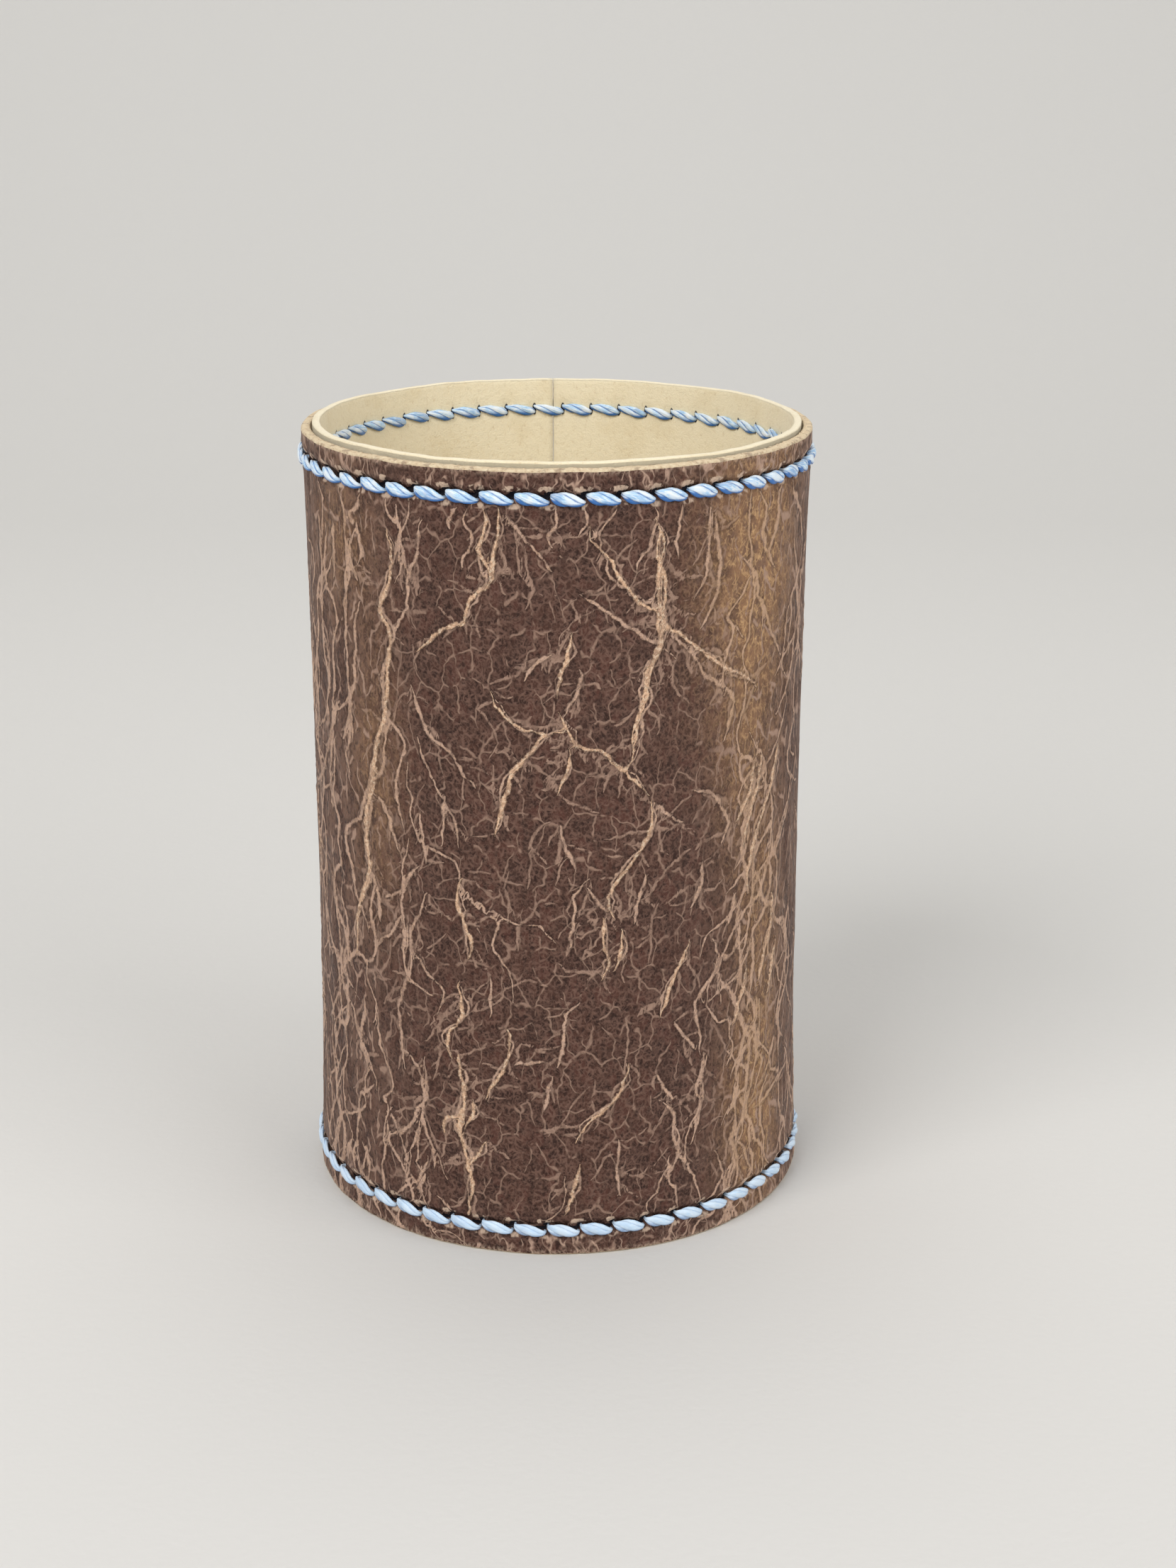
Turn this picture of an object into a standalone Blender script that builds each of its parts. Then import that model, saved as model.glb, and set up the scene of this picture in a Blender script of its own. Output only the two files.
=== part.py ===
"""Leather cooler sleeve for a slim drinks can.

A brown leather panel is rolled into an open tube over a thin cream lining. Its ends meet in a butt joint at
the back, closed by cross lacing. A row of saddle stitch runs round each edge, through both layers. The tube
stands on its lower edge, centred on the Z axis, with its front towards -Y. Angles are measured from the front
towards +X.
"""

import math

import bmesh
import bpy
from mathutils import Matrix, Vector

# Panel sizes, in metres
LEATHER_HEIGHT = 0.0985
LEATHER_THICKNESS = 0.0011
LINING_THICKNESS = 0.0010
GLUE_GAP = 0.00025
LINING_PROUD = 0.0006
BORE_RADIUS = 0.02875
TOP_FLARE = 0.00050
BOTTOM_FLARE = 0.00085
TOP_ROUNDING = 0.0004
BOTTOM_ROUNDING = 0.0003
BUTT_GAP = 0.0003

# Saddle stitch round both edges, in metres
EDGE_MARGIN = 0.0034
STITCH_PITCH = 0.0041
STITCH_WIDTH = 0.0014
STITCH_THICKNESS = 0.00075
PINCHED_WIDTH = 0.0007
PASS_OFFSET = 0.00045
THREAD_CLEARANCE = 0.00015
TOP_ROW_LEAD = 0.00065

# Cross lacing that closes the butt joint, in metres
LACE_MARGIN = 0.0034
LACE_PITCH = 0.0080
LACE_WIDTH = 0.0010

# The bottom row's slit nearest the front lies a little to its left
FRONT_SLIT_ANGLE = math.radians(-2.0)

# Heights, as shares of half the panel, where the hollow waist bends
WAIST_RINGS = (0.62, 0.0, -0.62)

# Radii of the waist, from the bore outwards
LINING_RADIUS = BORE_RADIUS + LINING_THICKNESS
LEATHER_BORE = LINING_RADIUS + GLUE_GAP
LEATHER_RADIUS = LEATHER_BORE + LEATHER_THICKNESS
WALL = LEATHER_RADIUS - BORE_RADIUS

# The thread goes round each edge twice, so a row has an even number of slits. The top row runs a bit ahead
SLIT_COUNT = 2 * round(math.pi * LEATHER_RADIUS / STITCH_PITCH)
SLIT_ANGLE = 2 * math.pi / SLIT_COUNT
SEAM_ANGLE = FRONT_SLIT_ANGLE + (SLIT_COUNT // 2 + 0.5) * SLIT_ANGLE
TOP_FIRST_SLIT = FRONT_SLIT_ANGLE + TOP_ROW_LEAD / LEATHER_RADIUS
BOTTOM_ROW = EDGE_MARGIN
TOP_ROW = LEATHER_HEIGHT - EDGE_MARGIN

# An awl slit takes two pinched passes of the flat doubled thread, one above the other
FLATNESS = STITCH_THICKNESS / STITCH_WIDTH
SLIT_WIDTH = FLATNESS * PINCHED_WIDTH + 2 * THREAD_CLEARANCE
SLIT_LENGTH = PINCHED_WIDTH + 2 * (PASS_OFFSET + THREAD_CLEARANCE)
CUT_OVERRUN = 0.001


def flare(height):
    """How far the wall stands out from the waist at a height, between the rings of the profile."""
    middle = LEATHER_HEIGHT / 2
    share = (height - middle) / middle
    stops = (1.0,) + WAIST_RINGS + (-1.0,)
    for upper, lower in zip(stops, stops[1:]):
        if share >= lower:
            break
    reach = (share - lower) / (upper - lower)
    return ring_flare(lower) + reach * (ring_flare(upper) - ring_flare(lower))


def ring_flare(share):
    """Flare of one ring, which grows with the cube of its distance from the waist."""
    edge = TOP_FLARE if share > 0 else BOTTOM_FLARE
    return edge * abs(share) ** 3


def faceted(radius, angle):
    """Radius of the wall's flat facets, each centred on a slit, at an angle."""
    turn = (angle - FRONT_SLIT_ANGLE) / SLIT_ANGLE
    off_centre = (turn - round(turn)) * SLIT_ANGLE
    return radius * math.cos(SLIT_ANGLE / 2) / math.cos(off_centre)


def around(angle, radius, height):
    """Point at an angle from the front, a distance from the axis and a height."""
    return Vector((radius * math.sin(angle), -radius * math.cos(angle), height))


def finish(name, colour, roughness):
    """Principled material with a plain colour."""
    material = bpy.data.materials.new(name)
    material.use_nodes = True
    shader = material.node_tree.nodes["Principled BSDF"]
    shader.inputs["Base Color"].default_value = (*colour, 1.0)
    shader.inputs["Roughness"].default_value = roughness
    shader.inputs["Metallic"].default_value = 0.0
    return material


def place(obj, collection, parent=None):
    """Put an object in its collection and under its parent."""
    collection.objects.link(obj)
    obj.parent = parent
    return obj


def panel(name, bore, thickness, top, roundings, material):
    """One layer of the wall: its section turned about the axis, a facet to each stitch."""
    top_rounding, bottom_rounding = roundings
    middle = LEATHER_HEIGHT / 2
    rings = [middle * (1 + share) for share in WAIST_RINGS]
    outer_top = bore + thickness + flare(top)
    outer_bottom = bore + thickness + flare(0.0)
    section = []
    if top_rounding:
        section.append((outer_top - top_rounding, top))
        section.append((outer_top - 0.3 * top_rounding, top - 0.3 * top_rounding))
    section.append((outer_top, top - top_rounding))
    section += [(bore + thickness + flare(height), height) for height in rings]
    if bottom_rounding:
        section.append((outer_bottom, bottom_rounding))
    section.append((outer_bottom - bottom_rounding, 0.0))
    section.append((bore + flare(0.0), 0.0))
    section += [(bore + flare(height), height) for height in reversed(rings)]
    section.append((bore + flare(top), top))

    mesh = bpy.data.meshes.new(name)
    edges = [(i, (i + 1) % len(section)) for i in range(len(section))]
    mesh.from_pydata([(radius, 0.0, height) for radius, height in section], edges, [])
    mesh.materials.append(material)
    obj = bpy.data.objects.new(name, mesh)
    obj.rotation_euler.z = FRONT_SLIT_ANGLE + SLIT_ANGLE / 2 - math.pi / 2
    turn = obj.modifiers.new("turn", "SCREW")
    turn.axis = "Z"
    turn.steps = SLIT_COUNT
    turn.render_steps = SLIT_COUNT
    turn.use_merge_vertices = True
    turn.merge_threshold = 1e-6
    return obj


def cut(obj, cutter):
    """Take a cutter out of a panel."""
    boolean = obj.modifiers.new(cutter.name, "BOOLEAN")
    boolean.operation = "DIFFERENCE"
    boolean.solver = "EXACT"
    boolean.object = cutter


def box_cutter(name, boxes, collection):
    """Cutter of separate boxes through the wall, each given as angle, height, width and length."""
    shape = bmesh.new()
    depth = WALL + 2 * CUT_OVERRUN
    for angle, height, width, length in boxes:
        centre = around(angle, BORE_RADIUS + WALL / 2 + flare(height), height)
        turn = Matrix.Rotation(angle, 4, "Z")
        size = Matrix.Diagonal((width, depth, length, 1.0))
        bmesh.ops.create_cube(shape, size=1.0, matrix=Matrix.Translation(centre) @ turn @ size)
    mesh = bpy.data.meshes.new(name)
    shape.to_mesh(mesh)
    shape.free()
    obj = bpy.data.objects.new(name, mesh)
    obj.hide_render = True
    obj.display_type = "WIRE"
    return place(obj, collection)


def row_slits(row, first):
    """Slits of one stitch row, from the angle of its first one."""
    return [(first + i * SLIT_ANGLE, row, SLIT_WIDTH, SLIT_LENGTH) for i in range(SLIT_COUNT)]


def lace_heights():
    """Heights of the lacing's pairs of slits, spread between the two stitch rows."""
    spaces = round((TOP_ROW - BOTTOM_ROW) / LACE_PITCH)
    step = (TOP_ROW - BOTTOM_ROW) / spaces
    return [BOTTOM_ROW + i * step for i in range(1, spaces)]


def lace_slits():
    """Slits of the lacing, in a column on each side of the butt joint."""
    side = LACE_MARGIN / LEATHER_RADIUS
    columns = (SEAM_ANGLE - side, SEAM_ANGLE + side)
    return [(angle, height, SLIT_WIDTH, SLIT_LENGTH) for angle in columns for height in lace_heights()]


def over(angle, height, width):
    """Distance from the axis of a thread of some width that lies on the leather."""
    return faceted(LEATHER_RADIUS + flare(height), angle) + THREAD_CLEARANCE + FLATNESS * width / 2


def under(angle, height, width):
    """The same on the lining, inside the bore."""
    return faceted(BORE_RADIUS + flare(height), angle) - THREAD_CLEARANCE - FLATNESS * width / 2


def row_route(row, first):
    """Twice round one edge, from the back, outside on the second lap where it was inside on the first.

    Each point is an angle, a radius, a height and the thread's own width. A stitch starts at the top of one
    slit and ends at the bottom of the next, and is pinched where it enters them.
    """
    route = []
    for visit in range(2 * SLIT_COUNT):
        lap, slit = divmod(visit, SLIT_COUNT)
        start = first + math.pi + slit * SLIT_ANGLE
        end = start + SLIT_ANGLE
        if (lap + slit) % 2 == 0:
            middle = start + SLIT_ANGLE / 2
            route.append((start, over(start, row, PINCHED_WIDTH), row + PASS_OFFSET, PINCHED_WIDTH))
            route.append((middle, over(middle, row, STITCH_WIDTH), row, STITCH_WIDTH))
            route.append((end, over(end, row, PINCHED_WIDTH), row - PASS_OFFSET, PINCHED_WIDTH))
        else:
            route.append((start, under(start, row, PINCHED_WIDTH), row - PASS_OFFSET, PINCHED_WIDTH))
            route.append((end, under(end, row, PINCHED_WIDTH), row + PASS_OFFSET, PINCHED_WIDTH))
    return route


def lace_route():
    """Up the butt joint in one set of diagonals and down it in the other.

    Inside, a bar crosses the joint at each pair of slits.
    """
    heights = lace_heights()
    side = LACE_MARGIN / LEATHER_RADIUS
    left = SEAM_ANGLE - side
    right = SEAM_ANGLE + side
    crossing = FLATNESS * LACE_WIDTH + THREAD_CLEARANCE
    route = []

    def outside(angle, height, shift):
        route.append((angle, over(angle, height, PINCHED_WIDTH), height + shift, PINCHED_WIDTH))

    def inside(angle, height, shift):
        route.append((angle, under(angle, height, PINCHED_WIDTH), height + shift, PINCHED_WIDTH))

    def diagonal(low, high, lift):
        height = (low + high) / 2
        route.append((SEAM_ANGLE, over(SEAM_ANGLE, height, LACE_WIDTH) + lift, height, LACE_WIDTH))

    for low, high in zip(heights, heights[1:]):
        outside(left, low, PASS_OFFSET)
        diagonal(low, high, 0.0)
        outside(right, high, -PASS_OFFSET)
        inside(right, high, -PASS_OFFSET)
        inside(left, high, PASS_OFFSET)
    heights.reverse()
    for high, low in zip(heights, heights[1:]):
        outside(left, high, -PASS_OFFSET)
        diagonal(low, high, crossing)
        outside(right, low, PASS_OFFSET)
        inside(right, low, PASS_OFFSET)
        bar = under(right, low, LACE_WIDTH) * math.cos(side)
        route.append((SEAM_ANGLE, bar - crossing, low, LACE_WIDTH))
        inside(left, low, -PASS_OFFSET)
    return route


def thread_section(collection):
    """Lozenge section of the flat doubled thread, at the full width of a stitch."""
    curve = bpy.data.curves.new("thread_section", "CURVE")
    curve.dimensions = "2D"
    spline = curve.splines.new("POLY")
    spline.points.add(3)
    spline.use_cyclic_u = True
    half_width = STITCH_WIDTH / 2
    half_thickness = STITCH_THICKNESS / 2
    corners = ((half_thickness, 0.0), (0.0, -half_width), (-half_thickness, 0.0), (0.0, half_width))
    for point, (across, along) in zip(spline.points, corners):
        point.co = (across, along, 0.0, 1.0)
    obj = bpy.data.objects.new("thread_section", curve)
    obj.hide_render = True
    obj.display_type = "WIRE"
    return place(obj, collection)


def thread(name, route, section, material):
    """Closed thread along a route, as wide as its points say, with its flat side to the wall."""
    curve = bpy.data.curves.new(name, "CURVE")
    curve.dimensions = "3D"
    curve.twist_mode = "Z_UP"
    curve.bevel_mode = "OBJECT"
    curve.bevel_object = section
    spline = curve.splines.new("POLY")
    spline.points.add(len(route) - 1)
    spline.use_cyclic_u = True
    for point, (angle, radius, height, width) in zip(spline.points, route):
        point.co = (*around(angle, radius, height), 1.0)
        point.radius = width / STITCH_WIDTH
    curve.materials.append(material)
    return bpy.data.objects.new(name, curve)


def main():
    """Build the sleeve from an empty scene."""
    for obj in list(bpy.data.objects):
        bpy.data.objects.remove(obj, do_unlink=True)
    sleeve = bpy.data.collections.new("can_cooler_sleeve")
    cutters = bpy.data.collections.new("cutters")
    bpy.context.scene.collection.children.link(sleeve)
    bpy.context.scene.collection.children.link(cutters)
    axis = place(bpy.data.objects.new("sleeve_axis", None), sleeve)

    leather = finish("distressed_brown_leather", (0.105, 0.058, 0.038), 0.5)
    cream = finish("cream_lining_leather", (0.80, 0.66, 0.42), 0.85)
    blue = finish("light_blue_waxed_thread", (0.28, 0.50, 0.80), 0.45)

    edges = (TOP_ROUNDING, BOTTOM_ROUNDING)
    lining_height = LEATHER_HEIGHT + LINING_PROUD
    wrap = panel("leather_wrap", LEATHER_BORE, LEATHER_THICKNESS, LEATHER_HEIGHT, edges, leather)
    lining = panel("lining", BORE_RADIUS, LINING_THICKNESS, lining_height, (0.0, 0.0), cream)
    top_slits = box_cutter("top_slits", row_slits(TOP_ROW, TOP_FIRST_SLIT), cutters)
    bottom_slits = box_cutter("bottom_slits", row_slits(BOTTOM_ROW, FRONT_SLIT_ANGLE), cutters)
    laced_slits = box_cutter("lace_slits", lace_slits(), cutters)
    joint = (SEAM_ANGLE, lining_height / 2, BUTT_GAP, lining_height + 2 * CUT_OVERRUN)
    butt_joint = box_cutter("butt_joint", [joint], cutters)
    for layer in (wrap, lining):
        place(layer, sleeve, axis)
        for cutter in (top_slits, bottom_slits, laced_slits, butt_joint):
            cut(layer, cutter)

    section = thread_section(cutters)
    top_route = row_route(TOP_ROW, TOP_FIRST_SLIT)
    bottom_route = row_route(BOTTOM_ROW, FRONT_SLIT_ANGLE)
    place(thread("top_stitching", top_route, section, blue), sleeve, axis)
    place(thread("bottom_stitching", bottom_route, section, blue), sleeve, axis)
    place(thread("seam_lacing", lace_route(), section, blue), sleeve, axis)


main()
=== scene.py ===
"""Finish of the leather can cooler sleeve: creased pull-up leather, cream lining, blue saddle stitch.

Lengths are in metres. What is drawn on the flat panel is in millimetres, across it from the front and up it
from the lower edge. Angles are measured from the front towards +X.
"""

import math

import bpy
import numpy as np
from mathutils import Matrix, Vector


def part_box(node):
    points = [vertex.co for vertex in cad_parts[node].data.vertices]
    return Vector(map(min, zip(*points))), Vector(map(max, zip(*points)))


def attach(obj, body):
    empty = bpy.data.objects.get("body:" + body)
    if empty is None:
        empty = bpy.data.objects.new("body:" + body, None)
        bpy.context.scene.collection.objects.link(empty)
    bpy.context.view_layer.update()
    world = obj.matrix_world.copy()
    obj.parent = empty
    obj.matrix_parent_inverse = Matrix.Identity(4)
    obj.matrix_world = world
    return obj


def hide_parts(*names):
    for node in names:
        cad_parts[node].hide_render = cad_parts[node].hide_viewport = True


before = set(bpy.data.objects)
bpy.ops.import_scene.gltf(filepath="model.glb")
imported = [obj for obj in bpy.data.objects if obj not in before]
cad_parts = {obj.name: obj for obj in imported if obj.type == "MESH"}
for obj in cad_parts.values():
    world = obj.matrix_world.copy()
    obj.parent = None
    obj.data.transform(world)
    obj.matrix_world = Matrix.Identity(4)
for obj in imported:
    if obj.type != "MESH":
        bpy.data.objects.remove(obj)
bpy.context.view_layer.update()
WRAP_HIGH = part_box("leather_wrap")[1]
LINING_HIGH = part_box("lining")[1]

bl_info = {
    "name": "Can Cooler Sleeve Finish",
    "version": (1, 0, 0),
    "blender": (4, 5, 0),
    "location": "3D View > Sidebar > Sleeve",
    "description": "Leather, lining, saddle stitch and lacing of a can cooler sleeve",
    "category": "Object",
}

MM = 0.001
TURN = 2 * math.pi
SEED = 11

# Waist, from the bore outwards, as in the frame
GLUE_GAP = 0.00025
BORE_RADIUS = 0.02875

# Veins of the leather, given one by one: places in millimetres across and up the panel. The bold ones, each
# after its half-width, are pulled open to pale fibre
BOLD_VEINS = [
    (0.23, [(-20.8, 90), (-20.1, 87), (-20.9, 83.8), (-22.3, 80.3), (-20.8, 77.5), (-21.5, 72.5),
            (-22.1, 67.5), (-23.4, 64.4), (-24.1, 60.6), (-24.8, 57.5), (-25.9, 53.8), (-25.8, 50),
            (-25.4, 47.2), (-26.8, 44), (-27.9, 41.3), (-28.4, 38.1), (-28.7, 35.3)]),
    (0.19, [(-6.1, 94), (-6.5, 90.6), (-6.8, 88), (-7.3, 85.3), (-9, 83.8), (-10.1, 82.2), (-10.6, 80.3),
            (-12.4, 79.7), (-14.6, 78.1), (-16.8, 76.3)]),
    (0.17, [(-7.8, 93.8), (-7.8, 91.3), (-8.6, 89), (-7.4, 86.6), (-7.3, 85.3)]),
    (0.21, [(-0.9, 67.4), (-3.4, 64.7), (-4.9, 62.5), (-5.8, 59.4), (-7.1, 55)]),
    (0.18, [(4, 91.9), (4.4, 90.3), (5.9, 88.8), (7.5, 85.9), (9.4, 83.4), (11.9, 81.6), (13.1, 80),
            (16.3, 77.5), (20, 74.7), (24.1, 72.2), (27.2, 70.6)]),
    (0.19, [(11.6, 92.5), (12.8, 89.7), (12.2, 86.6), (12.2, 83.4), (12.8, 81.3), (13, 80), (12.2, 76.9),
            (11.3, 73.8), (10.3, 70.6), (9.7, 66.9), (9.1, 64), (8.4, 62.5)]),
    (0.17, [(12.4, 91.5), (12.0, 88.6), (13.1, 85.2), (12.9, 82.2), (12.2, 80.2), (12.7, 77.2),
            (10.9, 74.2), (10.9, 71.3), (9.3, 67.5), (9.5, 64.5)]),
    (0.15, [(0.6, 70), (1.6, 67.5), (3.1, 65.6), (5.6, 65.3), (7.2, 63.4), (9.1, 61.6), (11.3, 59.4)]),
    (0.13, [(-7.4, 72.5), (-6.5, 70), (-4, 68.1), (-0.9, 67.5), (0, 67.8), (1.6, 67.5)]),
    (0.15, [(1.9, 65.6), (1.3, 62.5), (0.3, 60)]),
    (0.18, [(1.9, 79.4), (1.6, 76.9), (0.9, 75), (0.3, 71.9)]),
    (0.20, [(11.6, 58.4), (11.8, 56.3), (10.9, 53.4), (9.7, 51.6), (8.1, 49.7), (6.9, 48.1), (6.3, 46.3),
            (6.9, 44.4)]),
    (0.18, [(5.9, 44.4), (5.8, 40.6), (6.6, 38.8), (5.6, 36.3)]),
    (0.17, [(8.1, 42.8), (7.9, 39.4), (7.2, 37.5)]),
    (0.19, [(-11.7, 48.8), (-12, 45.6), (-11.2, 43.4), (-10.3, 40.6), (-10.7, 38.4)]),
    (0.19, [(-12, 35.3), (-11.6, 32.5), (-11.6, 30.6), (-13.4, 28.4), (-13.6, 26.6), (-13.1, 25.3)]),
    (0.26, [(-12.1, 25.6), (-11.8, 23.1), (-11.4, 21.6), (-11.5, 18.8), (-12, 16.3), (-11.3, 13),
            (-10.6, 10.3), (-10.4, 7.5), (-10.9, 4.7)]),
    (0.18, [(-10.3, 20), (-10.3, 18.1), (-11.5, 16)]),
    (0.18, [(-8.7, 14.7), (-9.3, 13.1), (-10.6, 11.5)]),
    (0.18, [(-12.1, 17.5), (-14, 16.9), (-14.1, 15)]),
    (0.19, [(-5.6, 29.7), (-5.8, 26.3), (-6.8, 23.4), (-8.2, 21.6), (-8.4, 20.3)]),
    (0.18, [(17.2, 39.7), (15.3, 36.3), (14.1, 33.4), (13.1, 30.6)]),
    (0.18, [(9.1, 25), (8.1, 21.9), (6.9, 20), (3.8, 17.5), (2.8, 15.3)]),
    (0.18, [(3.1, 11.9), (2.2, 8.8), (1.3, 5.6)]),
    (0.19, [(27.5, 60), (26.6, 56.9), (24.4, 53.8)]),
    (0.18, [(29.1, 61.3), (28.1, 56.9), (26.3, 53.1), (25.6, 50)]),
    (0.19, [(33.1, 61.3), (31.3, 56.3), (29.4, 53.1), (28.1, 50.6), (26.6, 46.3), (26.9, 43.8)]),
    (0.18, [(32.5, 41.9), (32.2, 38.1), (30.9, 35), (29.4, 31.3)]),
    (0.17, [(33.8, 35.6), (32.5, 31.3), (31.9, 28.8)]),
    (0.17, [(26.9, 33.8), (25.6, 30), (24.4, 26.9)]),
]

# Fine ones, which have only lost some of their colour
FINE_VEINS = [
    [(-15.9, 92.2), (-16.5, 88.1), (-17.8, 85), (-18.1, 81.9), (-19.3, 79.4), (-20.6, 77.5)],
    [(-19.3, 93), (-18.4, 87.5), (-17.8, 85.6)],
    [(-0.2, 77), (-2.1, 76), (-3.4, 73.8)],
    [(-17.8, 71.9), (-16.8, 68.8), (-15.6, 66.3), (-12.8, 64.4), (-10.9, 61.9), (-9, 60)],
    [(-24.8, 57.5), (-22.4, 55.6), (-21.2, 53), (-20.4, 50.6)],
    [(-17, 56.3), (-16.5, 52.5), (-16.2, 50)],
    [(-13.4, 59), (-13.6, 55.6), (-14, 52.5)],
    [(-31.5, 67.2), (-33.4, 63.8), (-35.9, 59.4), (-37.8, 56.3), (-42, 53.8)],
    [(-27.6, 87.8), (-27.6, 85.3), (-26.2, 83)],
    [(-28.4, 69.4), (-29, 65.6), (-30.6, 62.5)],
    [(-31.2, 89.4), (-31.5, 82.5)],
    [(-35.6, 89.4), (-35.3, 81.9), (-35.9, 76.9)],
    [(-5.3, 93), (-3.4, 90.6), (-0.3, 86.9)],
    [(18.8, 93), (18.8, 88), (18.4, 85), (16.9, 82.5)],
    [(19.7, 92.5), (20.5, 84.4), (18.1, 78.8)],
    [(3.1, 84), (6.9, 81.3), (9.4, 79.4), (11.9, 77.8), (14.7, 75.6)],
    [(13.8, 78.8), (16.9, 75.9), (18.8, 73.1), (21.9, 70.9), (23.4, 68.8), (21.9, 64.4)],
    [(3.1, 75), (2.8, 72.5), (1.3, 70)],
    [(11.9, 58.4), (13.8, 56.6), (16.3, 55)],
    [(0.6, 56.3), (1.3, 53.8), (2.5, 50.6)],
    [(17.5, 59), (20, 58.1), (21.9, 55.9), (22.8, 53.8), (21.6, 51.6)],
    [(-25.3, 47.2), (-24, 43.8), (-23.9, 40.6)],
    [(-19.9, 42.5), (-22.1, 39.7), (-23.7, 38.4), (-24.5, 37.2)],
    [(-17.4, 49.4), (-18.7, 48.1), (-19.9, 45.6), (-22.8, 44.1)],
    [(-16.2, 46.3), (-17.4, 43.1), (-18.7, 40.6), (-18.8, 36.3), (-19.9, 33.1), (-20.9, 30.6),
     (-20.6, 27.5), (-20.4, 25.9), (-20, 22)],
    [(-7.8, 36.3), (-7.9, 31.3)],
    [(-27.4, 29.4), (-27.4, 26.9), (-28.2, 25), (-28.1, 22.5), (-27, 21.3), (-27.1, 19.4)],
    [(-17.1, 24.4), (-16.5, 20), (-17.8, 17.5), (-19, 15), (-19.9, 13.8), (-22.8, 12.5)],
    [(-15.9, 13.1), (-15.4, 10)],
    [(-30.6, 8.8), (-31.8, 6.9), (-31.5, 5.6)],
    [(-0.3, 23.8), (-0.9, 21.9), (-1.5, 19.4)],
    [(-4.9, 25.3), (-0.9, 25.9)],
    [(-31.2, 30), (-31.5, 26.3), (-32.1, 23.1)],
    [(-33, 29.4), (-35.3, 26.3), (-37.4, 23.1)],
    [(-35.6, 43.8), (-34, 40), (-31.8, 37.5), (-30.3, 33.1)],
    [(11.3, 49.4), (10.3, 46.9), (10, 45.3), (9.7, 43.4)],
    [(4.1, 49.4), (2.2, 47.2), (2.5, 45.6), (1.9, 42.5), (1.8, 40.6)],
    [(3.8, 48), (6.3, 45)],
    [(2.8, 33.4), (1.3, 31.9), (0.9, 28.1), (0.3, 25)],
    [(15, 29.7), (16.6, 27.2), (18.1, 25.3)],
    [(12.8, 23.1), (14, 20.6), (15, 19.4)],
    [(19.4, 24.4), (19, 21.3), (19.4, 18.8), (18.1, 15.6)],
    [(7.8, 15), (7.5, 11.3), (8, 7.5)],
    [(13.1, 19.4), (15, 17.5), (15, 14.4), (15.6, 11.9), (14.1, 8.8)],
    [(18.8, 49.7), (18.8, 46.9), (17.2, 44)],
    [(24.4, 44.4), (23.4, 40.6)],
    [(29.4, 28.8), (29.1, 25.9)],
    [(27.2, 25.6), (25.3, 21.9)],
    [(34, 21.9), (31.3, 17.5)],
    [(39.4, 16.3), (35, 15.6), (30, 14.1)],
    [(24.7, 18.1), (25, 12.5), (23.8, 10.9)],
]
FINE_HALF_WIDTH = 0.17

# Random veins: how many, the places across that they lie between, half-width, least and most reach, and lean
# from upright in radians
STRAY_BOLD = [(15, 44, 96, 0.17, (7, 26), 0.3), (15, -94, -44, 0.17, (7, 26), 0.3)]
STRAY_FINE = [
    (64, 41, 97, 0.16, (5, 24), 0.4),
    (64, -95, -41, 0.16, (5, 24), 0.4),
    (38, -41, -16, 0.15, (8, 34), 0.08),
    (36, 20, 41, 0.15, (8, 34), 0.08),
]
STRAY_TWIGS = [
    (48, -28, 28, 0.13, (2, 8), 0.8),
    (64, 46, 97, 0.13, (2, 8), 0.8),
    (64, -95, -46, 0.13, (2, 8), 0.8),
]

# How far from a vein its place is known, and what is kept where there is none
VEIN_REACH = 2.0
NO_VEIN = (VEIN_REACH, 0.2, VEIN_REACH)

# Warm rubbed patches: across, up, half-width and half-height in millimetres, and strength
RUBBED = [
    (27.0, 86.0, 7.5, 17.0, 1.0),
    (25.5, 62.0, 4.0, 14.0, 0.4),
    (29.0, 14.0, 5.0, 14.0, 0.9),
    (30.0, 40.0, 4.5, 16.0, 0.45),
    (-24.0, 60.0, 4.0, 16.0, 0.3),
    (-30.0, 88.0, 6.0, 8.0, 0.3),
    (68.0, 30.0, 7.0, 22.0, 0.7),
    (-66.0, 70.0, 6.0, 18.0, 0.7),
    (90.0, 78.0, 5.0, 14.0, 0.5),
]

# Spacing of the leather's and the lining's columns: left, front and right
LEATHER_SPACINGS = (0.00068, 0.00030, 0.00068)
LINING_SPACINGS = (0.00070, 0.00050, 0.00070)

# How deep a thread dips into a slit, how far a stitch presses into the leather and into the lining, and how
# much its middle strays up or down
DIP = 0.0004
PRESS_OUTSIDE = 0.00016
PRESS_INSIDE = 0.00008
THREAD_STRAY = 0.00005

# Strands of a thread: how far each lies from the thread's middle and its radius, as shares of the width
STRANDS = 3
STRAND_SHIFT = 0.20
STRAND_RADIUS = 0.31

# Camera fitted to the photo, with its tilt below level and its roll in degrees
LENS_MM = 58.08
CAMERA_PLACE = (0.00392, -0.31231, 0.15324)
CAMERA_TILT = 18.102
CAMERA_ROLL = 0.101

# Soft lamps: name, place, side of the square and power
LAMPS = [
    ("key_softbox", (-0.55, -0.75, 0.85), 0.7, 8.5),
    ("fill_softbox", (0.75, -0.55, 0.45), 0.8, 4.2),
    ("top_softbox", (0.0, 0.25, 1.0), 0.8, 3.2),
]


def linear(code):
    """Linear red, green, blue and alpha of an sRGB hex colour."""
    shares = [int(code[i:i + 2], 16) / 255 for i in (1, 3, 5)]
    return tuple(c / 12.92 if c <= 0.04045 else ((c + 0.055) / 1.055) ** 2.4 for c in shares) + (1.0,)


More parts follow.
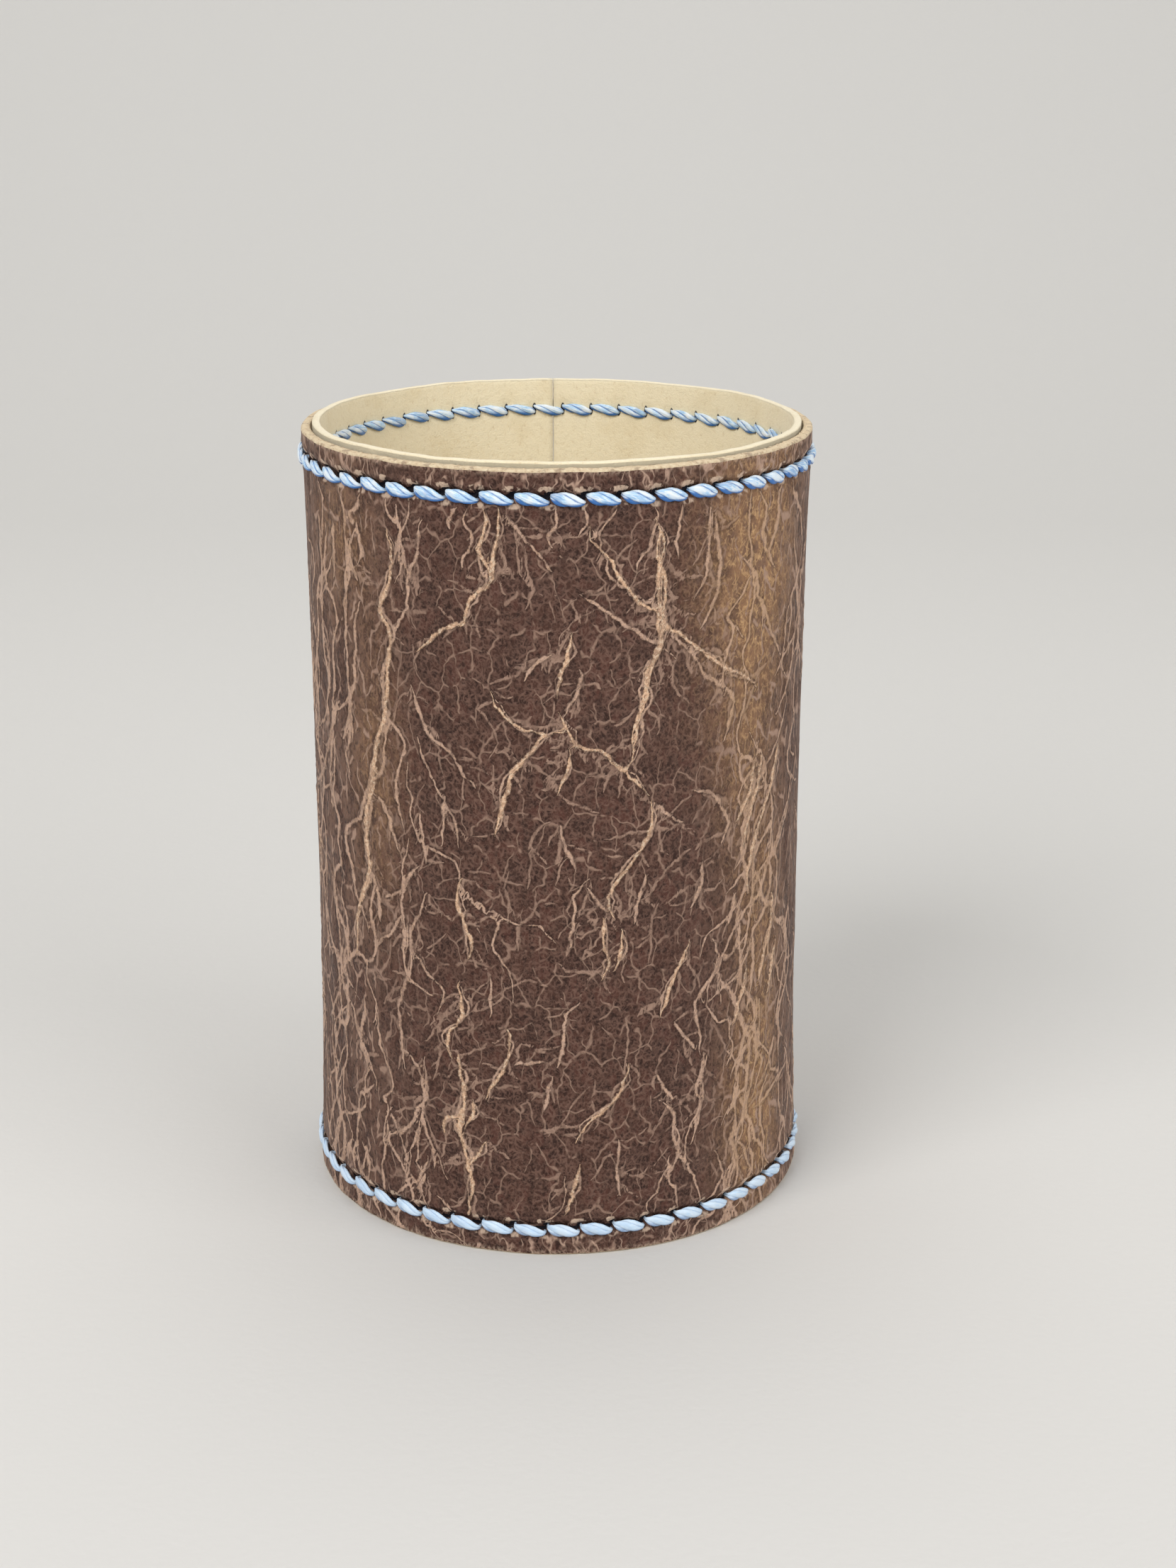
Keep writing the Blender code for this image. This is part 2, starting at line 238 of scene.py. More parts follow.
def colour(name, description, code):
    """Colour property with an sRGB hex default."""
    return bpy.props.FloatVectorProperty(
        name=name, description=description, default=linear(code), size=4, min=0.0, max=1.0, subtype="COLOR")


def length(name, description, default):
    """Length property in metres."""
    return bpy.props.FloatProperty(
        name=name, description=description, default=default, min=0.0, precision=5, subtype="DISTANCE",
        unit="LENGTH")


class SleeveSizes(bpy.types.PropertyGroup):
    """Sizes of the rolled panel."""

    height: length("Height", "Height of the leather", WRAP_HIGH.z)
    lining_height: length("Lining height", "Height of the lining, proud of the leather", LINING_HIGH.z)
    leather: length("Leather", "Thickness of the leather", 0.0011)
    lining: length("Lining", "Thickness of the lining", 0.0010)
    top_flare: length("Top flare", "How far the upper edge stands out from the waist", 0.00050)
    bottom_flare: length("Bottom flare", "How far the lower edge stands out from the waist", 0.00085)
    rounding: length("Rounding", "Radius on the leather's outer edges", 0.0003)
    butt_gap: length("Butt gap", "Gap between the panel's two ends at the back", 0.00008)


class StitchSizes(bpy.types.PropertyGroup):
    """Sizes of the saddle stitch and of the lacing."""

    slits: bpy.props.IntProperty(name="Slits", description="Slits in each row", default=48, min=8)
    margin: length("Margin", "From an edge to its row of slits", 0.0034)
    width: length("Width", "Width of a stitch at its widest", 0.0017)
    thickness: length("Thickness", "Thickness of a stitch at its middle", 0.00080)
    pinched: length("Pinched width", "Width of the thread in a slit", 0.0005)
    offset: length("Pass offset", "From the middle of a slit to each of its two passes", 0.00036)
    lead: length("Top lead", "How far the top row runs ahead of the bottom one", 0.00065)
    lay: length("Lay", "Length in which the strands turn once round each other", 0.0092)
    lace_margin: length("Lace margin", "From the joint to each column of lacing slits", 0.0034)
    lace_pitch: length("Lace pitch", "Spacing of the lacing slits up the joint", 0.0080)
    lace_width: length("Lace width", "Width of the lacing", 0.0010)
    front: bpy.props.FloatProperty(
        name="First slit", description="Angle of the front slit of the bottom row",
        default=math.radians(-2.0), subtype="ANGLE", unit="ROTATION")


class SleeveColours(bpy.types.PropertyGroup):
    """Colours of the finishes."""

    leather: colour("Leather", "Waxed brown of the grain", "#4b3128")
    leather_cool: colour("Cool patches", "Greyer patches of the grain", "#3f2a23")
    leather_red: colour("Warm patches", "Redder patches of the grain", "#58372e")
    # Painted shade in the pits of the grain and beside the veins
    shade: colour("Shade", "Pits, and the dark strip beside a vein", "#2d1b16")
    mottle: colour("Mottle", "Fine wrinkles of the grain", "#74574b")
    twig: colour("Twig", "Small creases where wax has moved a little", "#9f8170")
    crease: colour("Crease", "Creases where wax has moved away", "#c2a18d")
    vein: colour("Vein", "Bold veins opened to pale fibre", "#deb594")
    fibre: colour("Fibre", "Palest fibre in the bold veins", "#f2ddc3")
    gold: colour("Golden veins", "Veins in the rubbed places", "#c9a175")
    rubbed: colour("Rubbed", "Rubbed places that have gone tan", "#a27b5a")
    # Partly greyish wax bloom, partly painted sheen on the sides
    bloom_and_sheen: colour("Bloom", "Greyish bloom on the smoother sides", "#7a5f50")
    pucker: colour("Pucker", "Leather stretched pale round the slits", "#dcc0a8")
    # Painted shade: the dark of the slits' openings and the shadow of the stitches on the leather
    slit: colour("Slit", "Shadow inside a slit", "#141119")
    edge: colour("Cut edge", "Cut edge of the leather", "#dcc6a4")
    lining: colour("Lining", "Cream of the lining", "#f7eaca")
    thread: colour("Thread", "Blue of the waxed thread", "#badefc")
    # Deep blue both at random along the fibres and as painted shade in the grooves and under the thread
    thread_deep_and_shade: colour("Thread grooves", "Darker blue between the strands", "#3a72b8")
    thread_worn: colour("Thread high spots", "Paler blue on the strands' backs", "#f6fcff")
    # Painted light: the bottom row is painted paler than the top one
    thread_painted_light: colour("Bottom thread", "Paler blue of the bottom row, worn by handling", "#d4eaff")
    floor: colour("Floor", "Pale floor and backdrop", "#dcdad6")


def flare(sizes, height):
    """How far the wall stands out from the waist at a height, which grows with the cube of the distance."""
    share = (height - sizes.height / 2) / (sizes.height / 2)
    return np.where(share > 0, sizes.top_flare, sizes.bottom_flare) * np.abs(share) ** 3


def waist(sizes):
    """Radii of the lining's bore, the lining's outside, the leather's inside and its grain at the waist."""
    back = BORE_RADIUS + sizes.lining
    inside = back + GLUE_GAP
    return BORE_RADIUS, back, inside, inside + sizes.leather


def seam_angle(stitch):
    """Angle of the butt joint, half way between two slits at the back."""
    return stitch.front + (stitch.slits // 2 + 0.5) * TURN / stitch.slits


def row_starts(sizes, stitch):
    """Height and first slit's angle of the top row and of the bottom row."""
    ahead = stitch.lead / waist(sizes)[3]
    return (sizes.height - stitch.margin, stitch.front + ahead), (stitch.margin, stitch.front)


def slit_rows(sizes, stitch):
    """Spacing of the slits across the flat panel, and each row's height and first slit on it, in mm."""
    radius = waist(sizes)[3]
    pitch = radius * TURN / stitch.slits / MM
    return pitch, [(height / MM, first * radius / MM) for height, first in row_starts(sizes, stitch)]


def smooth(edge, far, value):
    """Smooth rise from 0 at edge to 1 at far."""
    t = np.clip((value - edge) / (far - edge), 0.0, 1.0)
    return t * t * (3 - 2 * t)


def swelling(x, z, middle, half, power=2):
    """Swelling of height 1 with its middle and half-widths; a higher power is flatter on top."""
    return np.exp(-((x - middle[0]) / half[0]) ** power - ((z - middle[1]) / half[1]) ** power)


def waves(rng, s, z, longest, count):
    """Gentle seeded unevenness between about -1 and 1 over the panel, from waves of falling length in mm."""
    height = np.zeros(np.broadcast(s, z).shape)
    for i in range(count):
        size = longest / 1.45 ** i
        heading = rng.uniform(0, TURN)
        phase = rng.uniform(0, TURN)
        height += np.sin(TURN * (s * math.cos(heading) + z * math.sin(heading)) / size + phase) / 1.25 ** i
    return height / math.sqrt(count)


def spline_points(points, spacing):
    """Points about every spacing along a smooth curve through the given ones."""
    p = np.array(points, float)
    p = np.vstack([2 * p[0] - p[1], p, 2 * p[-1] - p[-2]])
    found = []
    for a, b, c, d in zip(p, p[1:], p[2:], p[3:]):
        steps = max(2, int(round(np.linalg.norm(c - b) / spacing)))
        for t in np.linspace(0, 1, steps, endpoint=False):
            found.append(0.5 * (2 * b + (c - a) * t + (2 * a - 5 * b + 4 * c - d) * t ** 2
                                + (3 * b - a - 3 * c + d) * t ** 3))
    found.append(p[-2])
    return np.array(found)


def wander(rng, start, heading, reach, steps=(1.8, 3.4)):
    """Random vein that sets off on a heading from straight down and keeps near it."""
    points = [np.array(start, float)]
    turn = heading
    while reach > 0:
        step = rng.uniform(*steps)
        turn += rng.normal(0, 0.42) - 0.45 * (turn - heading)
        points.append(points[-1] + step * np.array([math.sin(turn), -math.cos(turn)]))
        reach -= step
    return points


def stray_veins(rng, groups):
    """Random veins, some of them forked, for each group of a table such as STRAY_FINE."""
    veins = []
    for count, low, high, half_width, reach, lean in groups:
        for _ in range(count):
            start = (rng.uniform(low, high), rng.uniform(5, 97))
            vein = wander(rng, start, rng.normal(0, lean), rng.uniform(*reach))
            veins.append((half_width * rng.uniform(0.75, 1.2), vein))
            if rng.random() < 0.5 and len(vein) > 3:
                fork = vein[len(vein) // 2]
                branch = wander(rng, fork, rng.choice([-0.6, 0.6]), 0.4 * reach[1] * rng.random())
                veins.append((half_width * 0.75, branch))
    return veins


def side_branches(rng, veins, spacing, half_width, reach):
    """Short crooked branches off the given veins, one about every spacing, which part less at the sides."""
    found = []
    for points in veins:
        line = spline_points(points, spacing)
        for here, ahead in zip(line, line[1:]):
            across, up = ahead - here
            aside = float(smooth(12.0, 26.0, abs(here[0])))
            part = rng.choice((-1, 1)) * rng.uniform(0.35, 1.1) * (1 - 0.7 * aside)
            heading = math.atan2(across, -up) + part
            branch = wander(rng, here, heading, rng.uniform(*reach), (0.7, 1.4))
            found.append((half_width * rng.uniform(0.7, 1.2), branch))
    return found


def gathers(rng, sizes, stitch, half_width):
    """Small upright creases that run into the panel from the slits of both rows, longer towards the sides."""
    pitch, rows = slit_rows(sizes, stitch)
    found = []
    for (row, first), heading in zip(rows, (0.0, math.pi)):
        for slit in range(-stitch.slits // 2, stitch.slits // 2):
            across = first + slit * pitch + rng.normal(0, 0.7)
            longer = 1 + float(smooth(8.0, 28.0, abs(across)))
            if rng.random() < 0.8:
                start = (across, row - 1.3 * math.cos(heading))
                turn = heading + rng.normal(0, 0.15)
                crease = wander(rng, start, turn, longer * rng.uniform(2, 8), (0.9, 1.8))
                found.append((half_width * rng.uniform(0.8, 1.3), crease))
    return found


def braids(rng, veins, spread):
    """A second strand beside each of the given veins, which parts from it and joins it again."""
    found = []
    for half_width, points in veins:
        line = spline_points(points, 1.3)
        order = np.arange(len(line))
        sway = spread * np.sin(np.cumsum(rng.uniform(0.3, 1.1, len(line))))
        sway = sway * rng.uniform(0.6, 1.2, len(line)) * np.clip(np.minimum(order, order[::-1]) / 2, 0, 1)
        found.append((0.7 * half_width, line + np.stack([sway, 0.2 * sway], 1)))
    return found


def vein_field(rng, veins, s, z):
    """For panel places in mm: distance to the right of the nearest vein, its half-width and plain distance.

    The side makes the distance cross zero evenly, so that a vein stays crisp between the mesh's points. The
    half-width swells and narrows at random, fades out at both ends and grows at the sides of the panel.
    """
    field = np.tile(NO_VEIN, (*s.shape, 1))
    across = s[:, 0]
    up = z[0]
    for half_width, points in veins:
        line = spline_points(points, 0.7)
        line += rng.normal(0, 0.10, line.shape)
        along = np.linspace(0, 1, len(line))
        widths = half_width * (0.6 + 0.8 * rng.random(len(line)))
        widths *= 0.4 + 0.6 * np.clip(5 * np.minimum(along, 1 - along), 0, 1)
        aside = np.abs(line[:, 0])
        widths *= 1 + 0.5 * smooth(12.0, 32.0, aside) * smooth(50.0, 38.0, aside)
        for a, b, wide, next_wide in zip(line, line[1:], widths, widths[1:]):
            low, high = np.minimum(a, b) - VEIN_REACH, np.maximum(a, b) + VEIN_REACH
            i = slice(*np.searchsorted(across, (low[0], high[0])))
            j = slice(*np.searchsorted(up, (low[1], high[1])))
            place = np.stack([s[i, j], z[i, j]], -1) - a
            run = b - a
            t = np.clip((place @ run) / (run @ run), 0, 1)
            gap = np.linalg.norm(place - t[..., None] * run, axis=-1)
            side = np.where(place[..., 0] * run[1] - place[..., 1] * run[0] > 0, -1.0, 1.0)
            found = np.stack([gap * side, wide + t * (next_wide - wide), gap], -1)
            closer = gap < field[i, j, 2]
            field[i, j][closer] = found[closer]
    return field


def nearest_slit(s, first, pitch):
    """Signed distance across the panel to the nearest slit of a row, in mm."""
    return (s - first + pitch / 2) % pitch - pitch / 2


def on_tube(radius, angle, height):
    """Points at a radius, an angle from the front and a height."""
    return np.stack([radius * np.sin(angle), -radius * np.cos(angle), height], -1)


def new_object(name, points, faces):
    """Mesh object of the given points and faces, linked to the scene."""
    mesh = bpy.data.meshes.new(name)
    mesh.from_pydata(points, [], faces)
    mesh.update()
    obj = bpy.data.objects.new(name, mesh)
    bpy.context.scene.collection.objects.link(obj)
    return obj


def tube_panel(name, angles, radii, heights):
    """Rolled panel: a closed section of radii and heights for each angle, skinned and capped at both ends."""
    columns, ring = radii.shape
    co = on_tube(radii, angles[:, None], heights)
    i, j = np.meshgrid(np.arange(columns - 1), np.arange(ring), indexing="ij")
    here = i * ring + j
    above = i * ring + (j + 1) % ring
    quads = np.stack([here, here + ring, above + ring, above], -1).reshape(-1, 4)
    caps = [list(range(ring)), list(range((columns - 1) * ring, columns * ring))[::-1]]
    return new_object(name, co.reshape(-1, 3).tolist(), quads.tolist() + caps)


def keep(obj, name, values):
    """Store one number or one vector per vertex for the material."""
    values = np.asarray(values, np.float32)
    kind, key = ("FLOAT", "value") if values.ndim == 1 else ("FLOAT_VECTOR", "vector")
    obj.data.attributes.new(name, kind, "POINT").data.foreach_set(key, values.ravel())


def set_faces(obj, materials, index):
    """Give the faces their materials, by index, and shade them smooth."""
    for material in materials:
        obj.data.materials.append(material)
    obj.data.polygons.foreach_set("material_index", np.asarray(index, np.int32))
    obj.data.shade_smooth()
    obj.data.update()


def add(tree, kind, inputs=None, **settings):
    """Add a node with its settings; each input is a plain value or the socket that feeds it."""
    node = tree.nodes.new(kind)
    for name, value in settings.items():
        setattr(node, name, value)
    for name, value in (inputs or {}).items():
        socket = node.inputs[name]
        if isinstance(value, bpy.types.NodeSocket):
            tree.links.new(value, socket)
        else:
            socket.default_value = value
    return node


def new_material(name):
    """Material with its tree emptied but for a Principled shader and the output."""
    material = bpy.data.materials.new(name)
    material.use_nodes = True
    tree = material.node_tree
    tree.nodes.clear()
    shader = add(tree, "ShaderNodeBsdfPrincipled")
    add(tree, "ShaderNodeOutputMaterial", {"Surface": shader.outputs[0]})
    return material, tree, shader


def layered(tree, base, layers):
    """Lay colours over a base in turn, each through its own mask."""
    for mask, top in layers:
        base = add(tree, "ShaderNodeMix", {0: mask, 6: base, 7: top}, data_type="RGBA").outputs[2]
    return base


def product(tree, *factors):
    """Product of masks and numbers."""
    multiplied = factors[0]
    for factor in factors[1:]:
        multiplied = add(tree, "ShaderNodeMath", {0: multiplied, 1: factor}, operation="MULTIPLY").outputs[0]
    return multiplied


def total(tree, *terms):
    """Sum of masks and numbers."""
    added = terms[0]
    for term in terms[1:]:
        added = add(tree, "ShaderNodeMath", {0: added, 1: term}, operation="ADD").outputs[0]
    return added


def between(tree, value, low, high, start=0.0, end=1.0):
    """Smooth step of a value from start, at low, to end, at high."""
    inputs = {"Value": value, "From Min": low, "From Max": high, "To Min": start, "To Max": end}
    return add(tree, "ShaderNodeMapRange", inputs, interpolation_type="SMOOTHSTEP").outputs[0]


def grain_noise(tree, place, size, detail=3.0, stretch=(1.0, 1.0, 1.0), roughness=0.55):
    """Noise whose blotches are about size millimetres, stretched along chosen axes."""
    scaled = add(tree, "ShaderNodeVectorMath", {0: place, 1: stretch}, operation="MULTIPLY").outputs[0]
    return add(tree, "ShaderNodeTexNoise", {"Vector": scaled, "Scale": 1 / size, "Detail": detail,
                                            "Roughness": roughness}, noise_dimensions="2D")


def vein_mask(tree, name, ragged, slack):
    """Line of a group of veins, with its edge made ragged, and the strip beside it that gets painted shade.

    Where the nearest vein changes, the side flips too. The plain distance less some slack in mm keeps that
    from looking like a vein.
    """
    parts = add(tree, "ShaderNodeSeparateXYZ", {
        0: add(tree, "ShaderNodeAttribute", attribute_name=name).outputs["Vector"]})
    off = add(tree, "ShaderNodeMath", {0: parts.outputs[0]}, operation="ABSOLUTE").outputs[0]
    clear = add(tree, "ShaderNodeMath", {0: parts.outputs[2], 1: slack}, operation="SUBTRACT").outputs[0]
    off = add(tree, "ShaderNodeMath", {0: off, 1: clear}, operation="MAXIMUM").outputs[0]
    share = add(tree, "ShaderNodeMath", {0: off, 1: parts.outputs[1]}, operation="DIVIDE").outputs[0]
    share = total(tree, share, ragged)
    line = between(tree, share, 1.6, 0.5)
    beside = product(tree, between(tree, share, 3.8, 1.8), between(tree, share, 1.0, 1.8))
    return line, beside


def ridges(tree, noise, width):
    """Thin wandering lines where a noise crosses its middle value."""
    off = add(tree, "ShaderNodeMath", {0: noise.outputs[0], 1: 0.5}, operation="SUBTRACT").outputs[0]
    off = add(tree, "ShaderNodeMath", {0: off}, operation="ABSOLUTE").outputs[0]
    return between(tree, off, width, 0.2 * width)


def crackle(tree, place, cell, width, stretch):
    """Network of creases round stretched cells, in millimetres."""
    scaled = add(tree, "ShaderNodeVectorMath", {0: place, 1: stretch}, operation="MULTIPLY").outputs[0]
    edge = add(tree, "ShaderNodeTexVoronoi", {"Vector": scaled, "Scale": 1 / cell},
               feature="DISTANCE_TO_EDGE", voronoi_dimensions="2D").outputs[0]
    return between(tree, edge, width / cell, 0.25 * width / cell)


def off_slit(tree, across, first, pitch):
    """Signed distance across the panel to the nearest slit of a row, in mm, as nearest_slit gives it."""
    local = add(tree, "ShaderNodeMath", {0: across, 1: first - pitch / 2, 2: first + pitch / 2},
                operation="WRAP").outputs[0]
    return add(tree, "ShaderNodeMath", {0: local, 1: first}, operation="SUBTRACT").outputs[0]


def spots(tree, across, up, row, shift, size, soft, strength=1.0):
    """Oval marks, one beside each slit of a row.

    Shift and half-size are across and up, in millimetres. A mark starts at the first share of its size in
    soft and is full at the second.
    """
    scaled = []
    for place, middle, half in ((across, shift[0], size[0]), (up, row + shift[1], size[1])):
        off = add(tree, "ShaderNodeMath", {0: place, 1: middle}, operation="SUBTRACT").outputs[0]
        scaled.append(add(tree, "ShaderNodeMath", {0: off, 1: half}, operation="DIVIDE").outputs[0])
    oval = add(tree, "ShaderNodeCombineXYZ", dict(enumerate(scaled))).outputs[0]
    share = add(tree, "ShaderNodeVectorMath", {0: oval}, operation="LENGTH").outputs["Value"]
    return between(tree, share, *soft, 0.0, strength)


def finish_shader(tree, shader, base, height, distance):
    """Give a shader its colour and the small relief of its surface, up to a distance in metres."""
    tree.links.new(base, shader.inputs["Base Color"])
    bump = add(tree, "ShaderNodeBump", {"Height": height, "Distance": distance})
    tree.links.new(bump.outputs[0], shader.inputs["Normal"])


def grain_material(sizes, stitch, colours):
    """Pull-up cowhide, waxed and tumbled.

    The wax makes it dark and satin. Where the hide folds the wax moves away and the crease shows paler, so
    the eye sees a net of tan veins over a dark mottled brown.
    """
    material, tree, shader = new_material("waxed_pull_up_cowhide")
    panel = add(tree, "ShaderNodeAttribute", attribute_name="panel").outputs["Vector"]
    rubbed, bloom_and_sheen, strands = (add(tree, "ShaderNodeAttribute", attribute_name=name).outputs["Fac"]
                              for name in ("rubbed", "bloom_and_sheen", "strands"))
    parts = add(tree, "ShaderNodeSeparateXYZ", {0: panel})
    across, up = parts.outputs[0], parts.outputs[1]

    # The coarse creases wander by up to about 0.4 mm and wriggle by 0.15 mm, the fine ones only wriggle
    drift = grain_noise(tree, panel, 3.0, 0.0).outputs["Color"]
    wriggling = grain_noise(tree, panel, 0.9, 0.0).outputs["Color"]
    warped = add(tree, "ShaderNodeVectorMath", {0: drift, 1: (1.4, 1.4, 0.0), 2: panel},
                 operation="MULTIPLY_ADD").outputs[0]
    warped = add(tree, "ShaderNodeVectorMath", {0: wriggling, 1: (0.5, 0.5, 0.0), 2: warped},
                 operation="MULTIPLY_ADD").outputs[0]
    gently = add(tree, "ShaderNodeVectorMath", {0: wriggling, 1: (0.4, 0.4, 0.0), 2: panel},
                 operation="MULTIPLY_ADD").outputs[0]

    # Pores are about 0.1 mm across in cowhide, too fine to show, and are drawn four times as coarse
    pores = grain_noise(tree, panel, 0.42, 2.0).outputs[0]
    patches = grain_noise(tree, panel, 6.0, 3.0).outputs[0]
    blush = grain_noise(tree, panel, 3.2, 2.0, (1.0, 0.7, 1.0)).outputs[0]
    tumble = grain_noise(tree, panel, 2.4, 3.0, (1.0, 0.6, 1.0)).outputs[0]
    pits = grain_noise(tree, panel, 0.8, 2.0, (1.0, 0.7, 1.0)).outputs[0]
    streaks = grain_noise(tree, panel, 2.6, 2.0, (1.0, 0.2, 1.0)).outputs[0]

    # Wrinkles and the net of creases round them run more upright towards the sides, where strands is 1
    middle = add(tree, "ShaderNodeMath", {0: 1.0, 1: strands}, operation="SUBTRACT").outputs[0]
    wrinkles = total(
        tree,
        product(tree, crackle(tree, gently, 0.80, 0.20, (1.0, 0.8, 1.0)), middle),
        product(tree, crackle(tree, gently, 1.0, 0.18, (1.0, 0.45, 1.0)), strands),
    )
    squiggles = ridges(tree, grain_noise(tree, gently, 0.55, 0.0, (1.0, 0.75, 1.0)), 0.12)
    net = total(
        tree,
        product(tree, crackle(tree, warped, 2.7, 0.17, (1.0, 0.7, 1.0)), middle),
        product(tree, crackle(tree, warped, 2.4, 0.17, (1.0, 0.34, 1.0)), strands),
    )

    # What breaks them up, and makes the edges of veins and marks ragged
    breaks = between(tree, grain_noise(tree, panel, 0.9, 2.0, (1.0, 0.8, 1.0)).outputs[0], 0.36, 0.55)
    net_breaks = between(tree, grain_noise(tree, panel, 2.2, 2.0, (1.0, 0.6, 1.0)).outputs[0], 0.41, 0.52)
    clumps = between(tree, grain_noise(tree, panel, 2.0, 2.0).outputs[0], 0.40, 0.60, 0.45, 1.0)
    faded = grain_noise(tree, panel, 1.7, 2.0, (1.0, 0.5, 1.0)).outputs[0]
    faded = between(tree, faded, 0.34, 0.56, 0.55, 1.0)
    ragged = grain_noise(tree, panel, 0.45, 2.0, (1.0, 0.7, 1.0)).outputs[0]
    ragged = add(tree, "ShaderNodeMath", {0: ragged, 1: 0.5}, operation="SUBTRACT").outputs[0]
    bold, bold_beside = vein_mask(tree, "bold_veins", product(tree, ragged, 2.2), 0.19)
    fine, fine_beside = vein_mask(tree, "fine_veins", product(tree, ragged, 2.0), 0.15)
    twig, twig_beside = vein_mask(tree, "twig_veins", product(tree, ragged, 1.8), 0.11)

    # Each slit has pale leather pulled up above it and below it and painted shade for its dark opening, and
    # the lane between two of them gets a painted shadow of the slanting stitch. The bottom row is pulled
    # flatter and gets less painted shadow
    pitch, rows = slit_rows(sizes, stitch)
    slant = 2 * stitch.offset / MM / pitch
    puckers, lips, slit_shades, lane_shadows = [], [], [], []
    for (row, first), shadow in zip(rows, (1.0, 0.6)):
        wavy = total(tree, off_slit(tree, across, first, pitch), product(tree, ragged, 1.2))
        puckers.append(spots(tree, wavy, up, row, (-0.25, 1.12), (0.85, 0.42), (1.2, 0.8)))
        lips.append(spots(tree, wavy, up, row, (-0.1, -0.88), (0.70, 0.30), (1.5, 0.6)))
        slit_shades.append(spots(tree, wavy, up, row, (-0.10, 0.46), (0.52 * shadow, 0.38), (1.15, 0.85)))
        along = off_slit(tree, across, first + pitch / 2, pitch)
        over = total(tree, up, product(tree, along, slant), product(tree, ragged, 0.25))
        lane_shadows.append(spots(tree, along, over, row, (1.35, 0.34), (0.65, 0.34 * shadow), (1.1, 0.85)))
        lane_shadows.append(spots(tree, along, over, row, (-0.2, 0.28), (1.9, 0.42), (1.1, 0.8), 0.5 * shadow))
    strokes = between(tree, grain_noise(tree, panel, 0.9, 1.0, (1.0, 0.8, 1.0)).outputs[0], 0.38, 0.50)
    pucker, lip = (product(tree, total(tree, *marks), strokes) for marks in (puckers, lips))
    slit_and_lane_shade = add(tree, "ShaderNodeClamp", {0: total(tree, *slit_shades, *lane_shadows)}).outputs[0]

    # Between a row and its edge the leather is gathered into small upright folds
    (top_row, _), (foot_row, _) = rows
    band = total(tree, between(tree, up, top_row + 0.4, top_row + 1.2),
                 between(tree, up, foot_row - 0.4, foot_row - 1.2))
    folds = ridges(tree, grain_noise(tree, warped, 1.6, 1.0, (1.0, 0.3, 1.0)), 0.06)
    folds = product(tree, folds, band, net_breaks)

    # The last millimetre before each cut edge is worn pale in places
    worn_top = between(tree, up, sizes.height / MM - 1.0, sizes.height / MM + 0.1)
    worn_foot = between(tree, up, 1.0, 0.0)
    worn = product(tree, total(tree, worn_top, worn_foot), between(tree, ragged, -0.1, 0.12))

    base = layered(tree, colours.leather, [
        (between(tree, patches, 0.42, 0.60, 0.0, 0.9), colours.leather_cool),
        (between(tree, blush, 0.50, 0.66, 0.0, 0.7), colours.leather_red),
        # Greyish bloom and painted sheen towards the sides
        (product(tree, bloom_and_sheen, between(tree, streaks, 0.38, 0.58, 0.25, 1.0)), colours.bloom_and_sheen),
        # Painted shade in the pits of the grain
        (between(tree, pits, 0.52, 0.36, 0.0, 0.75), colours.shade),
        (product(tree, strands, between(tree, streaks, 0.52, 0.36, 0.0, 0.6)), colours.leather_cool),
        (between(tree, pores, 0.50, 0.66, 0.0, 0.5), colours.mottle),
        (product(tree, squiggles, clumps, 0.45), colours.mottle),
        (product(tree, wrinkles, clumps, breaks, 0.8), colours.mottle),
        (product(tree, rubbed, between(tree, tumble, 0.35, 0.6, 0.40, 0.90)), colours.rubbed),
        (product(tree, rubbed, between(tree, pores, 0.46, 0.34), 0.5), colours.mottle),
        (product(tree, rubbed, total(tree, wrinkles, squiggles), breaks, 0.6), colours.gold),
        (product(tree, net, net_breaks, 0.75), colours.twig),
        (product(tree, net, net_breaks, strands, 0.45), colours.crease),
        # Painted shade beside the twigs
        (product(tree, twig_beside, 0.2), colours.shade),
        (product(tree, twig, faded), colours.twig),
        # Painted shade beside the fine veins
        (product(tree, fine_beside, 0.35), colours.shade),
        (product(tree, fine, faded), colours.crease),
        (product(tree, fine, between(tree, pores, 0.48, 0.64, 0.0, 0.4)), colours.vein),
        (product(tree, total(tree, fine, twig), rubbed, 0.4), colours.gold),
        # Painted shade beside the bold veins
        (product(tree, bold_beside, 0.2), colours.shade),
        (product(tree, bold, faded), colours.vein),
        (product(tree, bold, between(tree, pores, 0.48, 0.66, 0.0, 0.5)), colours.fibre),
        (product(tree, bold, between(tree, pores, 0.46, 0.34, 0.0, 0.45)), colours.twig),
        (product(tree, folds, 0.8), colours.crease),
        (product(tree, worn, 0.5), colours.pucker),
        (product(tree, pucker, 0.85), colours.pucker),
        (product(tree, lip, 0.75), colours.pucker),
        # Painted shade in the slits and painted shadow of each stitch on its lane
        (slit_and_lane_shade, colours.slit),
    ])
    tree.links.new(between(tree, tumble, 0.3, 0.7, 0.48, 0.66), shader.inputs["Roughness"])
    shader.inputs["IOR"].default_value = 1.5
    shader.inputs["Specular IOR Level"].default_value = 0.2

    height = total(
        tree,
        product(tree, tumble, 0.8),
        product(tree, pores, 0.20),
        product(tree, pits, 0.4),
        product(tree, wrinkles, breaks, 0.35),
        product(tree, squiggles, 0.2),
        product(tree, net, net_breaks, 0.5),
        product(tree, twig, 0.4),
        product(tree, fine, 0.7),
        product(tree, bold, 0.9),
        product(tree, folds, 0.8),
        product(tree, bold_beside, -0.1),
        product(tree, fine_beside, -0.15),
        product(tree, slit_and_lane_shade, -2.0),
    )
    finish_shader(tree, shader, base, height, 0.00016)
    return material


